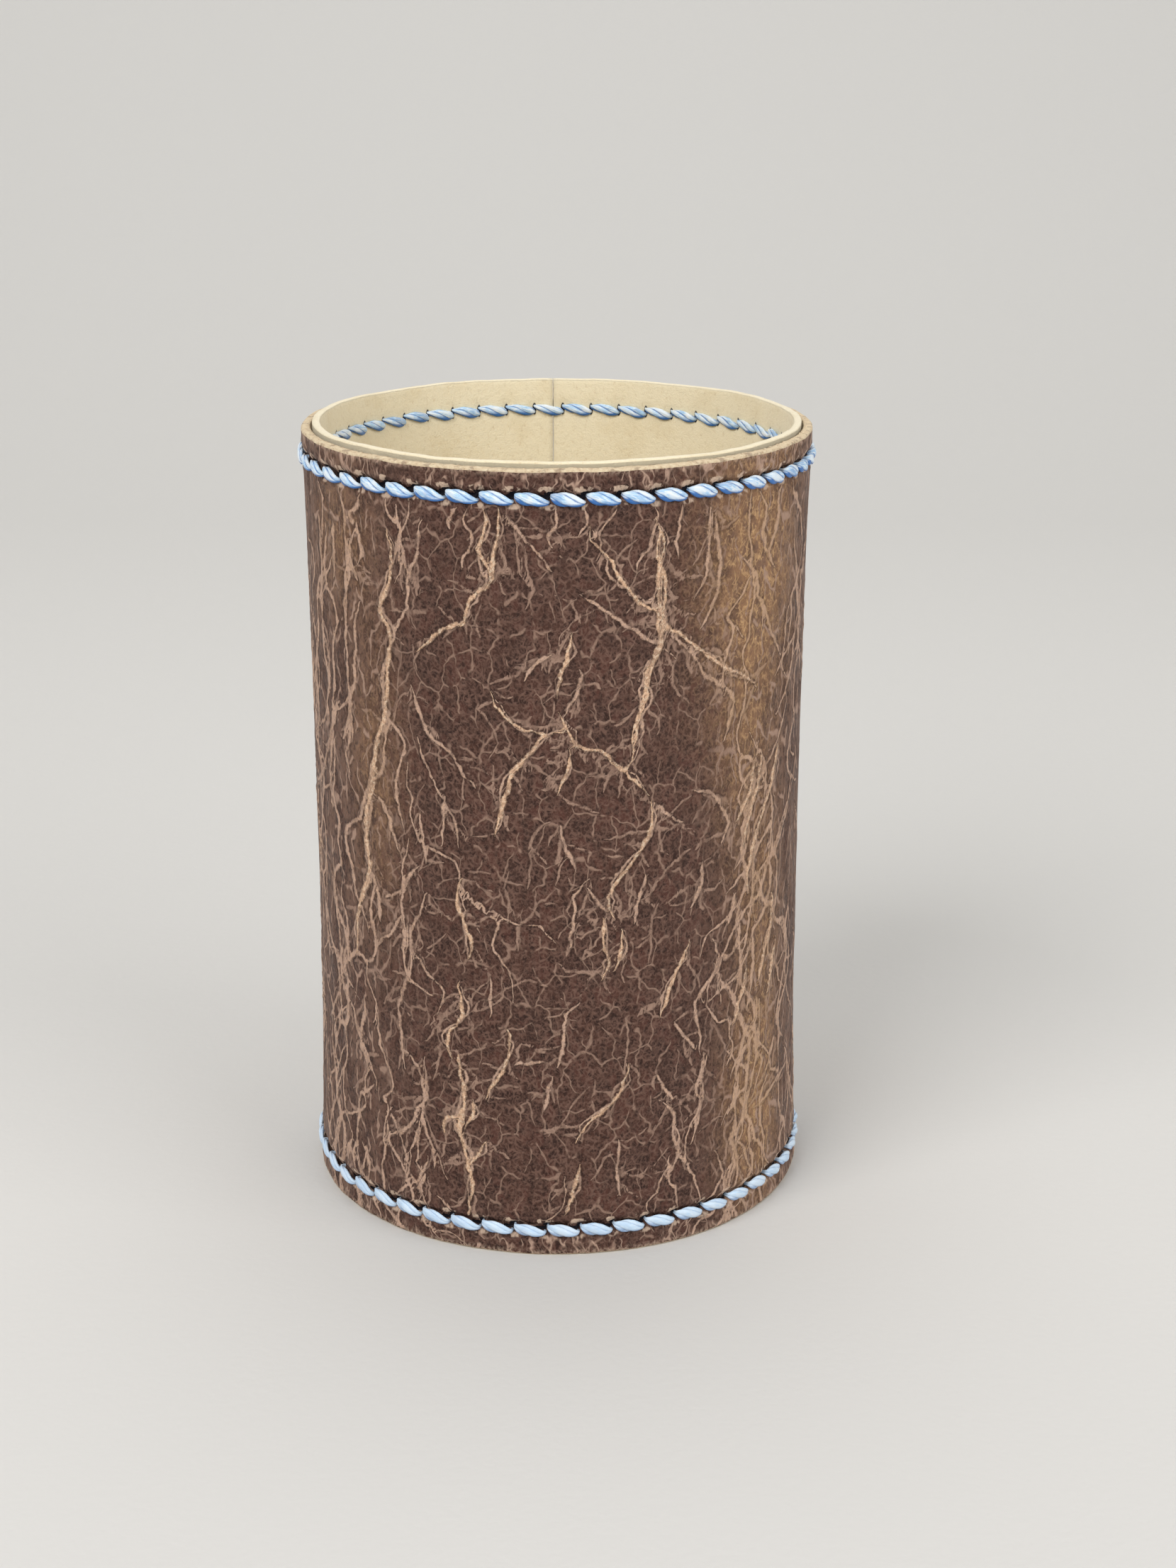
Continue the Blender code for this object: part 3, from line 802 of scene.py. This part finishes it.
def edge_material(colours):
    """Raw cut edge of cowhide, left unpainted: pale, matt and fibrous, with darker flecks of the dye."""
    material, tree, shader = new_material("raw_cut_cowhide_edge")
    panel = add(tree, "ShaderNodeAttribute", attribute_name="panel").outputs["Vector"]
    fibre = grain_noise(tree, panel, 0.5, 4.0, (1.0, 0.8, 1.0), 0.7).outputs[0]
    flecks = grain_noise(tree, panel, 1.6, 3.0).outputs[0]
    base = layered(tree, colours.edge, [
        (between(tree, fibre, 0.45, 0.7, 0.0, 0.5), colours.lining),
        (between(tree, fibre, 0.45, 0.3, 0.0, 0.5), colours.rubbed),
        (between(tree, flecks, 0.56, 0.70, 0.0, 0.5), colours.mottle),
    ])
    shader.inputs["Roughness"].default_value = 0.85
    finish_shader(tree, shader, base, fibre, 0.00015)
    return material


def lining_material(sizes, stitch, colours):
    """Undyed pigskin split, sueded: cream, matt and softly napped."""
    material, tree, shader = new_material("cream_sueded_split")
    panel = add(tree, "ShaderNodeAttribute", attribute_name="panel").outputs["Vector"]
    parts = add(tree, "ShaderNodeSeparateXYZ", {0: panel})
    across, up = parts.outputs[0], parts.outputs[1]
    cloud = grain_noise(tree, panel, 7.0, 3.0).outputs[0]

    # The nap's fibres are about 0.02 mm thick, too fine to show, and are drawn as tufts of 0.6 and 0.22 mm
    nap = grain_noise(tree, panel, 0.6, 4.0, (1.0, 0.8, 1.0), 0.7).outputs[0]
    hair = grain_noise(tree, panel, 0.22, 2.0).outputs[0]
    pitch, rows = slit_rows(sizes, stitch)
    # Painted shade for the dark openings of the slits on the inside
    slit_shades = [spots(tree, off_slit(tree, across, first, pitch), up, row, (0.0, 0.0), (0.3, 0.85), (1.1, 0.8))
             for row, first in rows]
    base = layered(tree, colours.lining, [
        (between(tree, cloud, 0.45, 0.7, 0.0, 0.25), linear("#e3cda0")),
        (between(tree, nap, 0.5, 0.75, 0.0, 0.4), linear("#f8ebcc")),
        (between(tree, nap, 0.45, 0.25, 0.0, 0.3), linear("#cdb184")),
        # Painted shade in the slits
        (total(tree, *slit_shades), colours.slit),
    ])
    shader.inputs["Roughness"].default_value = 0.9
    shader.inputs["Sheen Weight"].default_value = 0.25
    finish_shader(tree, shader, base, total(tree, nap, product(tree, hair, 0.5)), 0.00010)
    return material


def thread_material(colours):
    """Waxed polyester, three strands laid flat: soft sheen along the fibres, deeper blue at random, and
    painted shade in deep blue in the grooves and along the lower side.
    """
    material, tree, shader = new_material("waxed_polyester_thread")
    lay = add(tree, "ShaderNodeAttribute", attribute_name="lay").outputs["Vector"]
    groove_shade, painted_light = (add(tree, "ShaderNodeAttribute", attribute_name=name).outputs["Fac"]
                    for name in ("groove_shade", "painted_light"))

    # The filaments, about 0.02 mm thick, are too fine to show and are drawn as bundles of about 0.1 mm
    stretched = add(tree, "ShaderNodeVectorMath", {0: lay, 1: (1.0, 1.0, 0.14)},
                    operation="MULTIPLY").outputs[0]
    fibre = add(tree, "ShaderNodeTexNoise", {"Vector": stretched, "Scale": 9.0, "Detail": 3.0}).outputs[0]
    tone = add(tree, "ShaderNodeTexNoise", {"Vector": lay, "Scale": 0.35, "Detail": 2.0}).outputs[0]
    base = layered(tree, colours.thread, [
        (between(tree, fibre, 0.46, 0.62, 0.0, 0.85), colours.thread_worn),
        (between(tree, fibre, 0.45, 0.3, 0.0, 0.3), colours.thread_deep_and_shade),
        (between(tree, tone, 0.48, 0.60, 0.0, 0.7), colours.thread_worn),
        (between(tree, tone, 0.46, 0.36, 0.0, 0.35), colours.thread_deep_and_shade),
        # Painted light on the bottom row
        (product(tree, painted_light, 0.7), colours.thread_painted_light),
        # Painted shade in the grooves and on the lower side
        (between(tree, groove_shade, 0.05, 0.65), colours.thread_deep_and_shade),
    ])
    shader.inputs["Roughness"].default_value = 0.35
    finish_shader(tree, shader, base, fibre, 0.00006)
    return material


def panel_angles(sizes, stitch, spacings):
    """Angles of the panel's columns from one end of the joint to the other, closer together at the front."""
    radius = waist(sizes)[3]
    seam = seam_angle(stitch)
    gap = sizes.butt_gap / 2 / radius
    front = 41.0 * MM / radius
    stops = (seam - TURN + gap, -front, front, seam - gap)
    runs = []
    for start, end, spacing in zip(stops, stops[1:], spacings):
        count = int(round((end - start) * radius / spacing))
        runs.append(np.linspace(start, end, count, endpoint=False))
    return np.concatenate(runs + [[stops[-1]]])


def row_heights(sizes, stitch, low, high, coarse, close):
    """Heights from low to high, closer together near the two stitch rows."""
    reach = 0.0021
    stops = [low, stitch.margin - reach, stitch.margin + reach, sizes.height - stitch.margin - reach,
             sizes.height - stitch.margin + reach, high]
    runs = []
    for start, end, spacing in zip(stops, stops[1:], (close, close, coarse, close, close)):
        count = max(1, int(round((end - start) / spacing)))
        runs.append(np.linspace(start, end, count, endpoint=False))
    return np.concatenate(runs + [[high]])


def leather_relief(sizes, stitch, rng, s, z, bold, fine):
    """How far the grain stands out, in mm, over the panel: soft waves, veins and the pull of the stitches."""
    relief = 0.05 * waves(rng, s, z, 34.0, 6) + 0.022 * waves(rng, s, z * 0.6, 6.0, 6)
    for field, rise in ((bold, 0.09), (fine, 0.05)):
        relief += rise * np.exp(-(field[..., 2] / (1.3 * field[..., 1])) ** 2)
    pitch, rows = slit_rows(sizes, stitch)
    for row, first in rows:
        dx = nearest_slit(s, first, pitch)
        dz = z - row
        along = nearest_slit(s, first + pitch / 2, pitch)
        over = dz + 2 * stitch.offset / MM * along / pitch

        # The row draws the leather in, each slit more so, and the lane of a stitch and the hole are pressed
        relief -= 0.16 * np.exp(-(dz / 0.95) ** 2)
        relief -= 0.20 * swelling(dx, dz, (0, 0), (0.75, 0.95))
        relief -= 0.30 * swelling(along, over, (-0.3, 0.45), (1.9, 0.50), 4)
        relief -= 0.25 * swelling(dx, dz, (-0.15, 0.35), (0.50, 0.60), 4)

        # It swells above and below each slit
        relief += 0.12 * swelling(dx, dz, (-0.1, 1.6), (0.9, 0.5))
        relief += 0.10 * swelling(dx, dz, (0.1, -1.5), (0.8, 0.45))
    return relief


def build_leather(sizes, stitch, colours):
    """The leather panel, rolled, with its grain, two cut edges and hidden flesh side."""
    rng = np.random.default_rng(SEED)
    inside, outside = waist(sizes)[2:]
    angles = panel_angles(sizes, stitch, LEATHER_SPACINGS)
    rows = row_heights(sizes, stitch, sizes.rounding, sizes.height - sizes.rounding, 0.00056, 0.00026)
    s, z = np.meshgrid(angles * outside / MM, rows / MM, indexing="ij")

    bold_veins = BOLD_VEINS + stray_veins(rng, STRAY_BOLD)
    fine_veins = [(FINE_HALF_WIDTH, vein) for vein in FINE_VEINS] + braids(rng, bold_veins, 0.8)
    fine_veins += stray_veins(rng, STRAY_FINE) + gathers(rng, sizes, stitch, 0.14)
    twig_veins = side_branches(rng, [vein for _, vein in bold_veins], 6.0, 0.13, (1.5, 5))
    twig_veins += side_branches(rng, FINE_VEINS, 6.0, 0.13, (1.2, 4.5))
    twig_veins += stray_veins(rng, STRAY_TWIGS)
    bold = vein_field(rng, bold_veins, s, z)
    fine = vein_field(rng, fine_veins, s, z)
    twig = vein_field(rng, twig_veins, s, z)
    relief = leather_relief(sizes, stitch, rng, s, z, bold, fine) * MM
    radius = outside + flare(sizes, rows)[None, :] + relief

    # The cut edges run a little uneven, the lower one only upwards, so that the sleeve still stands on it
    top_wave = 0.09 * MM * waves(rng, s[:, -1], 0.0, 23.0, 8)
    foot_wave = 0.05 * MM * (1 + waves(rng, s[:, 0], 0.0, 19.0, 8)).clip(0)
    near_top = smooth(sizes.height - 0.004, sizes.height, rows)
    near_foot = smooth(0.003, 0.0, rows)
    heights = rows[None, :] + near_top * top_wave[:, None] + near_foot * foot_wave[:, None]

    bend = np.radians((30, 60, 90))
    shares = np.array((0.28, 0.52, 0.76, 1.0))
    drop = sizes.rounding * (1 - np.cos(bend))
    rise = sizes.rounding * np.sin(bend)
    ragged = 0.035 * MM * rng.normal(size=(len(angles), len(shares)))
    top_r = radius[:, -1:] - drop
    top_z = heights[:, -1:] + rise
    across = inside + flare(sizes, sizes.height)
    top_cut_r = top_r[:, -1:] + (across - top_r[:, -1:]) * shares
    top_cut_z = top_z[:, -1:] + ragged
    flesh_z = np.linspace(sizes.height * 0.92, sizes.height * 0.08, 6)
    flesh_r = inside + flare(sizes, flesh_z)
    foot_r = radius[:, :1] - drop
    foot_z = heights[:, :1] - rise
    foot_cut_r = foot_r[:, -1:] + (inside + flare(sizes, 0.0) - foot_r[:, -1:]) * shares
    foot_cut_z = (foot_z[:, -1:] + np.abs(ragged)).clip(0.0)
    flesh = np.broadcast_to(flesh_r, (len(angles), 6)), np.broadcast_to(flesh_z, (len(angles), 6))
    loop_r = np.hstack([radius, top_r, top_cut_r, flesh[0], foot_cut_r[:, ::-1], foot_r[:, ::-1]])
    loop_z = np.hstack([heights, top_z, top_cut_z, flesh[1], foot_cut_z[:, ::-1], foot_z[:, ::-1]])
    obj = tube_panel("leather_sleeve", angles, loop_r, loop_z)

    # The flat panel's own places run on over the edges, so that the pattern turns them without a break. The
    # flesh side's lie far above the panel
    ring = loop_r.shape[1]
    depth = np.concatenate([0.3 + 0.2 * np.arange(3), 0.7 + 0.3 * np.arange(len(shares))])
    up = np.concatenate([rows / MM, sizes.height / MM - 0.3 + depth, flesh_z / MM + 200, -depth[::-1] + 0.3])
    place = np.zeros((len(angles), ring, 3))
    place[..., 0] = (angles * outside / MM)[:, None]
    place[..., 1] = up
    filler = np.tile(NO_VEIN, (len(angles), ring - len(rows), 1))
    keep(obj, "panel", place.reshape(-1, 3))
    for name, field in (("bold_veins", bold), ("fine_veins", fine), ("twig_veins", twig)):
        keep(obj, name, np.concatenate([field, filler], 1).reshape(-1, 3))
    side = np.abs(place[..., 0])
    keep(obj, "strands", (smooth(14.0, 27.0, side) * smooth(58.0, 40.0, side)).ravel())
    warm = sum(strength * swelling(place[..., 0], place[..., 1], (x, y), half)
               for x, y, *half, strength in RUBBED)
    keep(obj, "rubbed", np.clip(warm, 0, 1).ravel())
    # Where the sides get greyish bloom and painted sheen
    keep(obj, "bloom_and_sheen", (smooth(15.0, 34.0, side) * smooth(90.0, 55.0, side)).ravel())

    face_row = np.arange(ring)
    grain_faces = (face_row < len(rows) - 1) | (face_row >= ring - 1)
    index = np.append(np.tile(np.where(grain_faces, 0, 1), len(angles) - 1), [1, 1])
    set_faces(obj, [grain_material(sizes, stitch, colours), edge_material(colours)], index)
    return obj


def build_lining(sizes, stitch, colours):
    """The cream lining, whose upper edge stands a little proud of the leather and waves."""
    rng = np.random.default_rng(SEED + 1)
    bore, back = waist(sizes)[:2]
    scale = waist(sizes)[3] / MM
    angles = panel_angles(sizes, stitch, LINING_SPACINGS)
    rounding = 0.0002
    rows = row_heights(sizes, stitch, rounding, sizes.lining_height - rounding, 0.0014, 0.0004)
    s, z = np.meshgrid(angles * scale, rows / MM, indexing="ij")
    relief = 0.05 * waves(rng, s, z, 30.0, 7)
    pitch, slits = slit_rows(sizes, stitch)
    for row, first in slits:
        relief += 0.10 * np.exp(-((z - row) / 0.8) ** 2)
        relief += 0.20 * swelling(nearest_slit(s, first, pitch), z - row, (0, 0), (0.8, 1.0))
    inner = bore + flare(sizes, rows)[None, :] + relief * MM
    wave = 0.10 * MM * waves(rng, s[:, 0], 0.0, 27.0, 9)
    near_top = smooth(sizes.lining_height - 0.005, sizes.lining_height, rows)
    heights = rows[None, :] + near_top * wave[:, None]

    outer_rows = np.linspace(0.0, sizes.height - 0.001, 8)
    outer_r = np.broadcast_to(back + flare(sizes, outer_rows), (len(angles), len(outer_rows)))
    outer_z = np.broadcast_to(outer_rows, outer_r.shape)
    lip = back + flare(sizes, sizes.height) + 0.03 * MM * waves(rng, s[:, 0], 0.0, 14.0, 6)
    bend = np.radians((0, 45, 90))
    lip_r = lip[:, None] - rounding * (1 - np.cos(bend))
    lip_z = (sizes.lining_height - rounding + wave)[:, None] + rounding * np.sin(bend)
    inner_lip_r = inner[:, -1:] + rounding * (1 - np.cos(bend[::-1]))
    inner_lip_z = heights[:, -1:] + rounding * np.sin(bend[::-1])
    middle_r = (lip_r[:, -1:] + inner_lip_r[:, :1]) / 2
    middle_z = (lip_z[:, -1:] + inner_lip_z[:, :1]) / 2 + 0.03 * MM
    foot_r = inner[:, :1] + rounding
    foot_z = np.zeros_like(foot_r)
    loop_r = np.hstack([outer_r, lip_r, middle_r, inner_lip_r[:, :2], inner[:, ::-1], foot_r])
    loop_z = np.hstack([outer_z, lip_z, middle_z, inner_lip_z[:, :2], heights[:, ::-1], foot_z])
    obj = tube_panel("cream_lining", angles, loop_r, loop_z)
    lip_up = sizes.lining_height + np.array((0.0, 0.2, 0.4, 0.9, 1.4, 1.6)) * MM
    up = np.concatenate([outer_rows + 0.3, lip_up, rows[::-1], [-0.0005]])
    place = np.zeros((*loop_r.shape, 3))
    place[..., 0] = (angles * scale)[:, None]
    place[..., 1] = up / MM
    keep(obj, "panel", place.reshape(-1, 3))
    set_faces(obj, [lining_material(sizes, stitch, colours)], np.zeros(len(obj.data.polygons)))
    return obj


def strand_mesh(name, path, widths, thicknesses, lay, sides, material, painted_light=0.0):
    """Closed thread of strands twisted round a closed path, flattened to widths and thicknesses."""
    path, widths, thicknesses = (np.concatenate(runs) for runs in (path, widths, thicknesses))
    count = len(path)
    ahead = np.roll(path, -1, 0) - np.roll(path, 1, 0)
    ahead /= np.linalg.norm(ahead, axis=1)[:, None]

    # Where the path runs too steeply to say which way is up, the last direction is carried on
    upward = np.array((0.0, 0.0, 1.0)) - ahead * ahead[:, 2:3]
    size = np.linalg.norm(upward, axis=1)
    for i in np.flatnonzero(size < 0.35):
        upward[i] = upward[i - 1] - ahead[i] * (upward[i - 1] @ ahead[i])
        size[i] = np.linalg.norm(upward[i])
    upward /= size[:, None]
    outward = np.cross(ahead, upward)
    steps = np.linalg.norm(np.roll(path, -1, 0) - path, axis=1)
    run = np.concatenate([[0.0], np.cumsum(steps)[:-1]])
    whole = steps.sum()
    turns = round(whole / lay)
    ring = np.linspace(0, TURN, sides, endpoint=False)
    circle = np.stack([np.cos(ring), np.sin(ring)], 1)
    corners, faces, lays, groove_shades = [], [], [], []
    for strand in range(STRANDS):
        phase = TURN * (turns * run / whole + strand / STRANDS)
        centre = np.stack([np.cos(phase), np.sin(phase)], 1) * STRAND_SHIFT
        local = centre[:, None, :] + STRAND_RADIUS * circle[None]
        co = (path[:, None, :] + local[..., :1] * (widths[:, None] * upward)[:, None, :]
              + local[..., 1:] * (thicknesses[:, None] * outward)[:, None, :])
        corners.append(co.reshape(-1, 3))

        # Painted shade: deep blue between the strands and along the thread's lower side, halved where the
        # thread gets painted light
        inner = smooth(0.44, 0.28, np.linalg.norm(local, axis=2))
        underside_shade = 0.75 * smooth(-0.10, -0.42, local[..., 0])
        groove_shades.append((np.maximum(inner, underside_shade) * (1 - 0.5 * painted_light)).ravel())
        spot = np.empty((count, sides, 3))
        spot[..., :2] = circle * 0.3 + 5.0 * strand
        spot[..., 2] = (run / MM)[:, None]
        lays.append(spot.reshape(-1, 3))
        i, j = np.meshgrid(np.arange(count), np.arange(sides), indexing="ij")
        base = strand * count * sides
        here, side = base + i * sides + j, base + i * sides + (j + 1) % sides
        beyond = base + (i + 1) % count * sides
        far, far_side = beyond + j, beyond + (j + 1) % sides
        faces.append(np.stack([here, side, far_side, far], -1).reshape(-1, 4))
    obj = new_object(name, np.concatenate(corners).tolist(), np.concatenate(faces).tolist())
    keep(obj, "lay", np.concatenate(lays))
    keep(obj, "groove_shade", np.concatenate(groove_shades))
    keep(obj, "painted_light", np.full(len(obj.data.vertices), painted_light))
    set_faces(obj, [material], np.zeros(len(obj.data.polygons)))
    return obj


def arch(count):
    """Share of the way along, and height, of a stitch that rises steeply and dives into the next slit."""
    turn = np.linspace(math.pi, 0, count)
    along = 0.5 + 0.5 * np.sign(np.cos(turn)) * np.abs(np.cos(turn)) ** 0.62
    return along, np.abs(np.sin(turn)) ** 0.55


def build_row(name, sizes, stitch, height, first, rng, material, painted_light):
    """Saddle stitch round one edge: the thread goes round twice, and a stitch slants from slit to slit."""
    bore, _, _, grain = waist(sizes)
    step = TURN / stitch.slits
    path, widths, thicknesses = [], [], []
    stitch_outside, stitch_inside = arch(22), arch(12)
    for visit in range(2 * stitch.slits):
        lap, slit = divmod(visit, stitch.slits)
        start = first + math.pi + slit * step
        outside = (lap + slit) % 2 == 0
        along, rise = stitch_outside if outside else stitch_inside
        full = stitch.width * rng.uniform(0.95, 1.06)
        deep = stitch.thickness * rng.uniform(0.94, 1.08)
        belly = np.sin(math.pi * np.clip(along, 0, 1) ** 0.75) ** 0.8
        slope = stitch.offset * (1 - 2 * along) + rng.normal(0, THREAD_STRAY) * belly
        z = height + slope if outside else height - slope
        wall = flare(sizes, z)
        width = stitch.pinched + (full - stitch.pinched) * belly
        flat = stitch.thickness / 2 + (deep - stitch.thickness / 2) * belly

        # Inside, the thread lies tighter and flatter
        if outside:
            radius = grain + wall - DIP + (DIP - PRESS_OUTSIDE + 0.5 * deep) * rise
        else:
            width *= 0.85
            flat *= 0.8
            radius = bore + wall + DIP - (DIP - PRESS_INSIDE + 0.4 * deep) * rise
        angle = start + (0.05 + 0.90 * along if outside else along) * step
        path.append(on_tube(radius, angle, z))
        widths.append(width)
        thicknesses.append(flat)
    return strand_mesh(name, path, widths, thicknesses, stitch.lay, 9, material, painted_light)


def build_lacing(name, sizes, stitch, material):
    """Cross lacing up and down the butt joint, with a bar inside at each pair of slits."""
    bore, _, _, grain = waist(sizes)
    seam = seam_angle(stitch)
    side = stitch.lace_margin / grain
    low, high = stitch.margin, sizes.height - stitch.margin
    spaces = round((high - low) / stitch.lace_pitch)
    levels = low + (high - low) / spaces * np.arange(1, spaces)
    thick = stitch.lace_width * stitch.thickness / stitch.width
    path, widths, thicknesses = [], [], []

    def lay_run(start, end, outside, lift):
        """One run of the lacing between two slits, each given as an angle and a height."""
        along, rise = arch(24 if outside else 12)
        angle = start[0] + along * (end[0] - start[0])
        z = start[1] + along * (end[1] - start[1])
        bump = lift * np.sin(math.pi * along) ** 4
        if outside:
            radius = grain + flare(sizes, z) - DIP + (DIP + 0.42 * thick) * rise + bump
        else:
            radius = bore + flare(sizes, z) + DIP - (DIP + 0.42 * thick) * rise - bump
        belly = np.clip(4 * along * (1 - along), 0, 1) ** 0.5
        path.append(on_tube(radius, angle, z))
        widths.append(stitch.pinched + (stitch.lace_width - stitch.pinched) * belly)
        thicknesses.append(0.5 * thick + 0.5 * thick * belly)

    left, right, shift = seam - side, seam + side, stitch.offset
    for lower, upper in zip(levels, levels[1:]):
        lay_run((left, lower + shift), (right, upper - shift), True, 0.0)
        lay_run((right, upper - shift), (left, upper + shift), False, 0.0)
    for upper, lower in zip(levels[::-1], levels[-2::-1]):
        lay_run((left, upper - shift), (right, lower + shift), True, thick)
        lay_run((right, lower + shift), (left, lower - shift), False, thick)
    return strand_mesh(name, path, widths, thicknesses, stitch.lay * 0.8, 8, material)


def shared_thread(colours):
    """The thread's material, made once."""
    return bpy.data.materials.get("waxed_polyester_thread") or thread_material(colours)


class SLEEVE_OT_leather(bpy.types.Operator):
    """Roll the creased leather panel round the lining"""

    bl_idname = "sleeve.leather"
    bl_label = "Leather"

    def execute(self, context):
        scene = context.scene
        obj = build_leather(scene.sleeve_sizes, scene.sleeve_stitch, scene.sleeve_colours)
        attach(obj, "root")
        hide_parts("leather_wrap")
        return {"FINISHED"}


class SLEEVE_OT_lining(bpy.types.Operator):
    """Put the cream lining inside"""

    bl_idname = "sleeve.lining"
    bl_label = "Lining"

    def execute(self, context):
        scene = context.scene
        obj = build_lining(scene.sleeve_sizes, scene.sleeve_stitch, scene.sleeve_colours)
        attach(obj, "root")
        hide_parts("lining")
        return {"FINISHED"}


class SLEEVE_OT_stitching(bpy.types.Operator):
    """Sew the two rows of saddle stitch"""

    bl_idname = "sleeve.stitching"
    bl_label = "Saddle stitch"

    def execute(self, context):
        scene = context.scene
        sizes, stitch = scene.sleeve_sizes, scene.sleeve_stitch
        material = shared_thread(scene.sleeve_colours)
        rng = np.random.default_rng(SEED + 2)

        # The bottom row gets painted light: a paler blue, and less painted shade in its grooves
        for name, (height, first), painted_light in zip(("top", "bottom"), row_starts(sizes, stitch), (0.0, 1.0)):
            obj = build_row(f"{name}_saddle_stitch", sizes, stitch, height, first, rng, material, painted_light)
            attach(obj, "root")
            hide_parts(f"{name}_stitching")
        return {"FINISHED"}


class SLEEVE_OT_lacing(bpy.types.Operator):
    """Lace the butt joint at the back"""

    bl_idname = "sleeve.lacing"
    bl_label = "Lacing"

    def execute(self, context):
        scene = context.scene
        material = shared_thread(scene.sleeve_colours)
        obj = build_lacing("joint_lacing", scene.sleeve_sizes, scene.sleeve_stitch, material)
        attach(obj, "root")
        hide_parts("seam_lacing")
        return {"FINISHED"}


def lamp(name, place, target, size, power):
    """Soft square lamp that faces a point."""
    data = bpy.data.lights.new(name, "AREA")
    data.shape = "SQUARE"
    data.size = size
    data.energy = power
    obj = bpy.data.objects.new(name, data)
    obj.location = place
    obj.rotation_euler = (Vector(target) - Vector(place)).to_track_quat("-Z", "Y").to_euler()
    bpy.context.scene.collection.objects.link(obj)


class SLEEVE_OT_stage(bpy.types.Operator):
    """Set up the pale floor, the soft lamps, the world and the camera"""

    bl_idname = "sleeve.stage"
    bl_label = "Stage"

    def execute(self, context):
        scene = context.scene
        colours = scene.sleeve_colours
        scene.view_settings.view_transform = "Standard"

        # Seamless paper: a floor that curves up into a backdrop behind the sleeve
        start, radius, half_width = 0.4, 0.5, 1.8
        bend = [(y, 0.0) for y in (-1.6, -start, start)]
        bend += [(start + radius * math.sin(t), radius - radius * math.cos(t))
                 for t in np.linspace(0.1, math.pi / 2, 12)]
        bend.append((start + radius, 2.0))
        points = [(x, y, z) for y, z in bend for x in (-half_width, half_width)]
        faces = [(2 * i, 2 * i + 1, 2 * i + 3, 2 * i + 2) for i in range(len(bend) - 1)]
        sweep = new_object("paper_sweep", points, faces)
        sweep.data.shade_smooth()
        material, tree, shader = new_material("matt_paper")
        place = add(tree, "ShaderNodeTexCoord").outputs["Object"]
        tooth = add(tree, "ShaderNodeTexNoise", {"Vector": place, "Scale": 900.0, "Detail": 2.0}).outputs[0]
        bump = add(tree, "ShaderNodeBump", {"Height": tooth, "Distance": 0.00005})
        tree.links.new(bump.outputs[0], shader.inputs["Normal"])
        shader.inputs["Base Color"].default_value = colours.floor
        shader.inputs["Roughness"].default_value = 0.9
        sweep.data.materials.append(material)

        for name, place, size, power in LAMPS:
            lamp(name, place, (0.0, 0.0, 0.05), size, power)

        world = bpy.data.worlds.new("soft_room")
        world.use_nodes = True
        background = world.node_tree.nodes["Background"]
        background.inputs["Color"].default_value = linear("#f4f4f4")
        background.inputs["Strength"].default_value = 0.32
        scene.world = world

        data = bpy.data.cameras.new("photo_view")
        data.lens = LENS_MM
        data.sensor_width = 36.0
        data.clip_start = 0.01
        camera = bpy.data.objects.new("photo_view", data)
        tilt = Matrix.Rotation(math.radians(90 - CAMERA_TILT), 4, "X")
        roll = Matrix.Rotation(math.radians(CAMERA_ROLL), 4, "Z")
        camera.matrix_world = Matrix.Translation(CAMERA_PLACE) @ tilt @ roll
        scene.collection.objects.link(camera)
        scene.camera = camera
        return {"FINISHED"}


class SLEEVE_PT_finish(bpy.types.Panel):
    """Sidebar panel with the sleeve's sizes, colours and pieces"""

    bl_label = "Can Cooler Sleeve"
    bl_idname = "SLEEVE_PT_finish"
    bl_space_type = "VIEW_3D"
    bl_region_type = "UI"
    bl_category = "Sleeve"

    def draw(self, context):
        layout = self.layout
        for group in (context.scene.sleeve_sizes, context.scene.sleeve_stitch, context.scene.sleeve_colours):
            box = layout.box()
            for name in group.__annotations__:
                box.prop(group, name)
        for piece in OPERATORS:
            layout.operator(piece.bl_idname)


OPERATORS = (SLEEVE_OT_leather, SLEEVE_OT_lining, SLEEVE_OT_stitching, SLEEVE_OT_lacing, SLEEVE_OT_stage)
CLASSES = (SleeveSizes, StitchSizes, SleeveColours, *OPERATORS, SLEEVE_PT_finish)


def register():
    for cls in CLASSES:
        bpy.utils.register_class(cls)
    bpy.types.Scene.sleeve_sizes = bpy.props.PointerProperty(type=SleeveSizes)
    bpy.types.Scene.sleeve_stitch = bpy.props.PointerProperty(type=StitchSizes)
    bpy.types.Scene.sleeve_colours = bpy.props.PointerProperty(type=SleeveColours)


def unregister():
    del bpy.types.Scene.sleeve_sizes
    del bpy.types.Scene.sleeve_stitch
    del bpy.types.Scene.sleeve_colours
    for cls in reversed(CLASSES):
        bpy.utils.unregister_class(cls)


def main():
    """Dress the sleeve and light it."""
    register()
    bpy.ops.sleeve.leather()
    bpy.ops.sleeve.lining()
    bpy.ops.sleeve.stitching()
    bpy.ops.sleeve.lacing()
    bpy.ops.sleeve.stage()


if __name__ == "__main__":
    main()
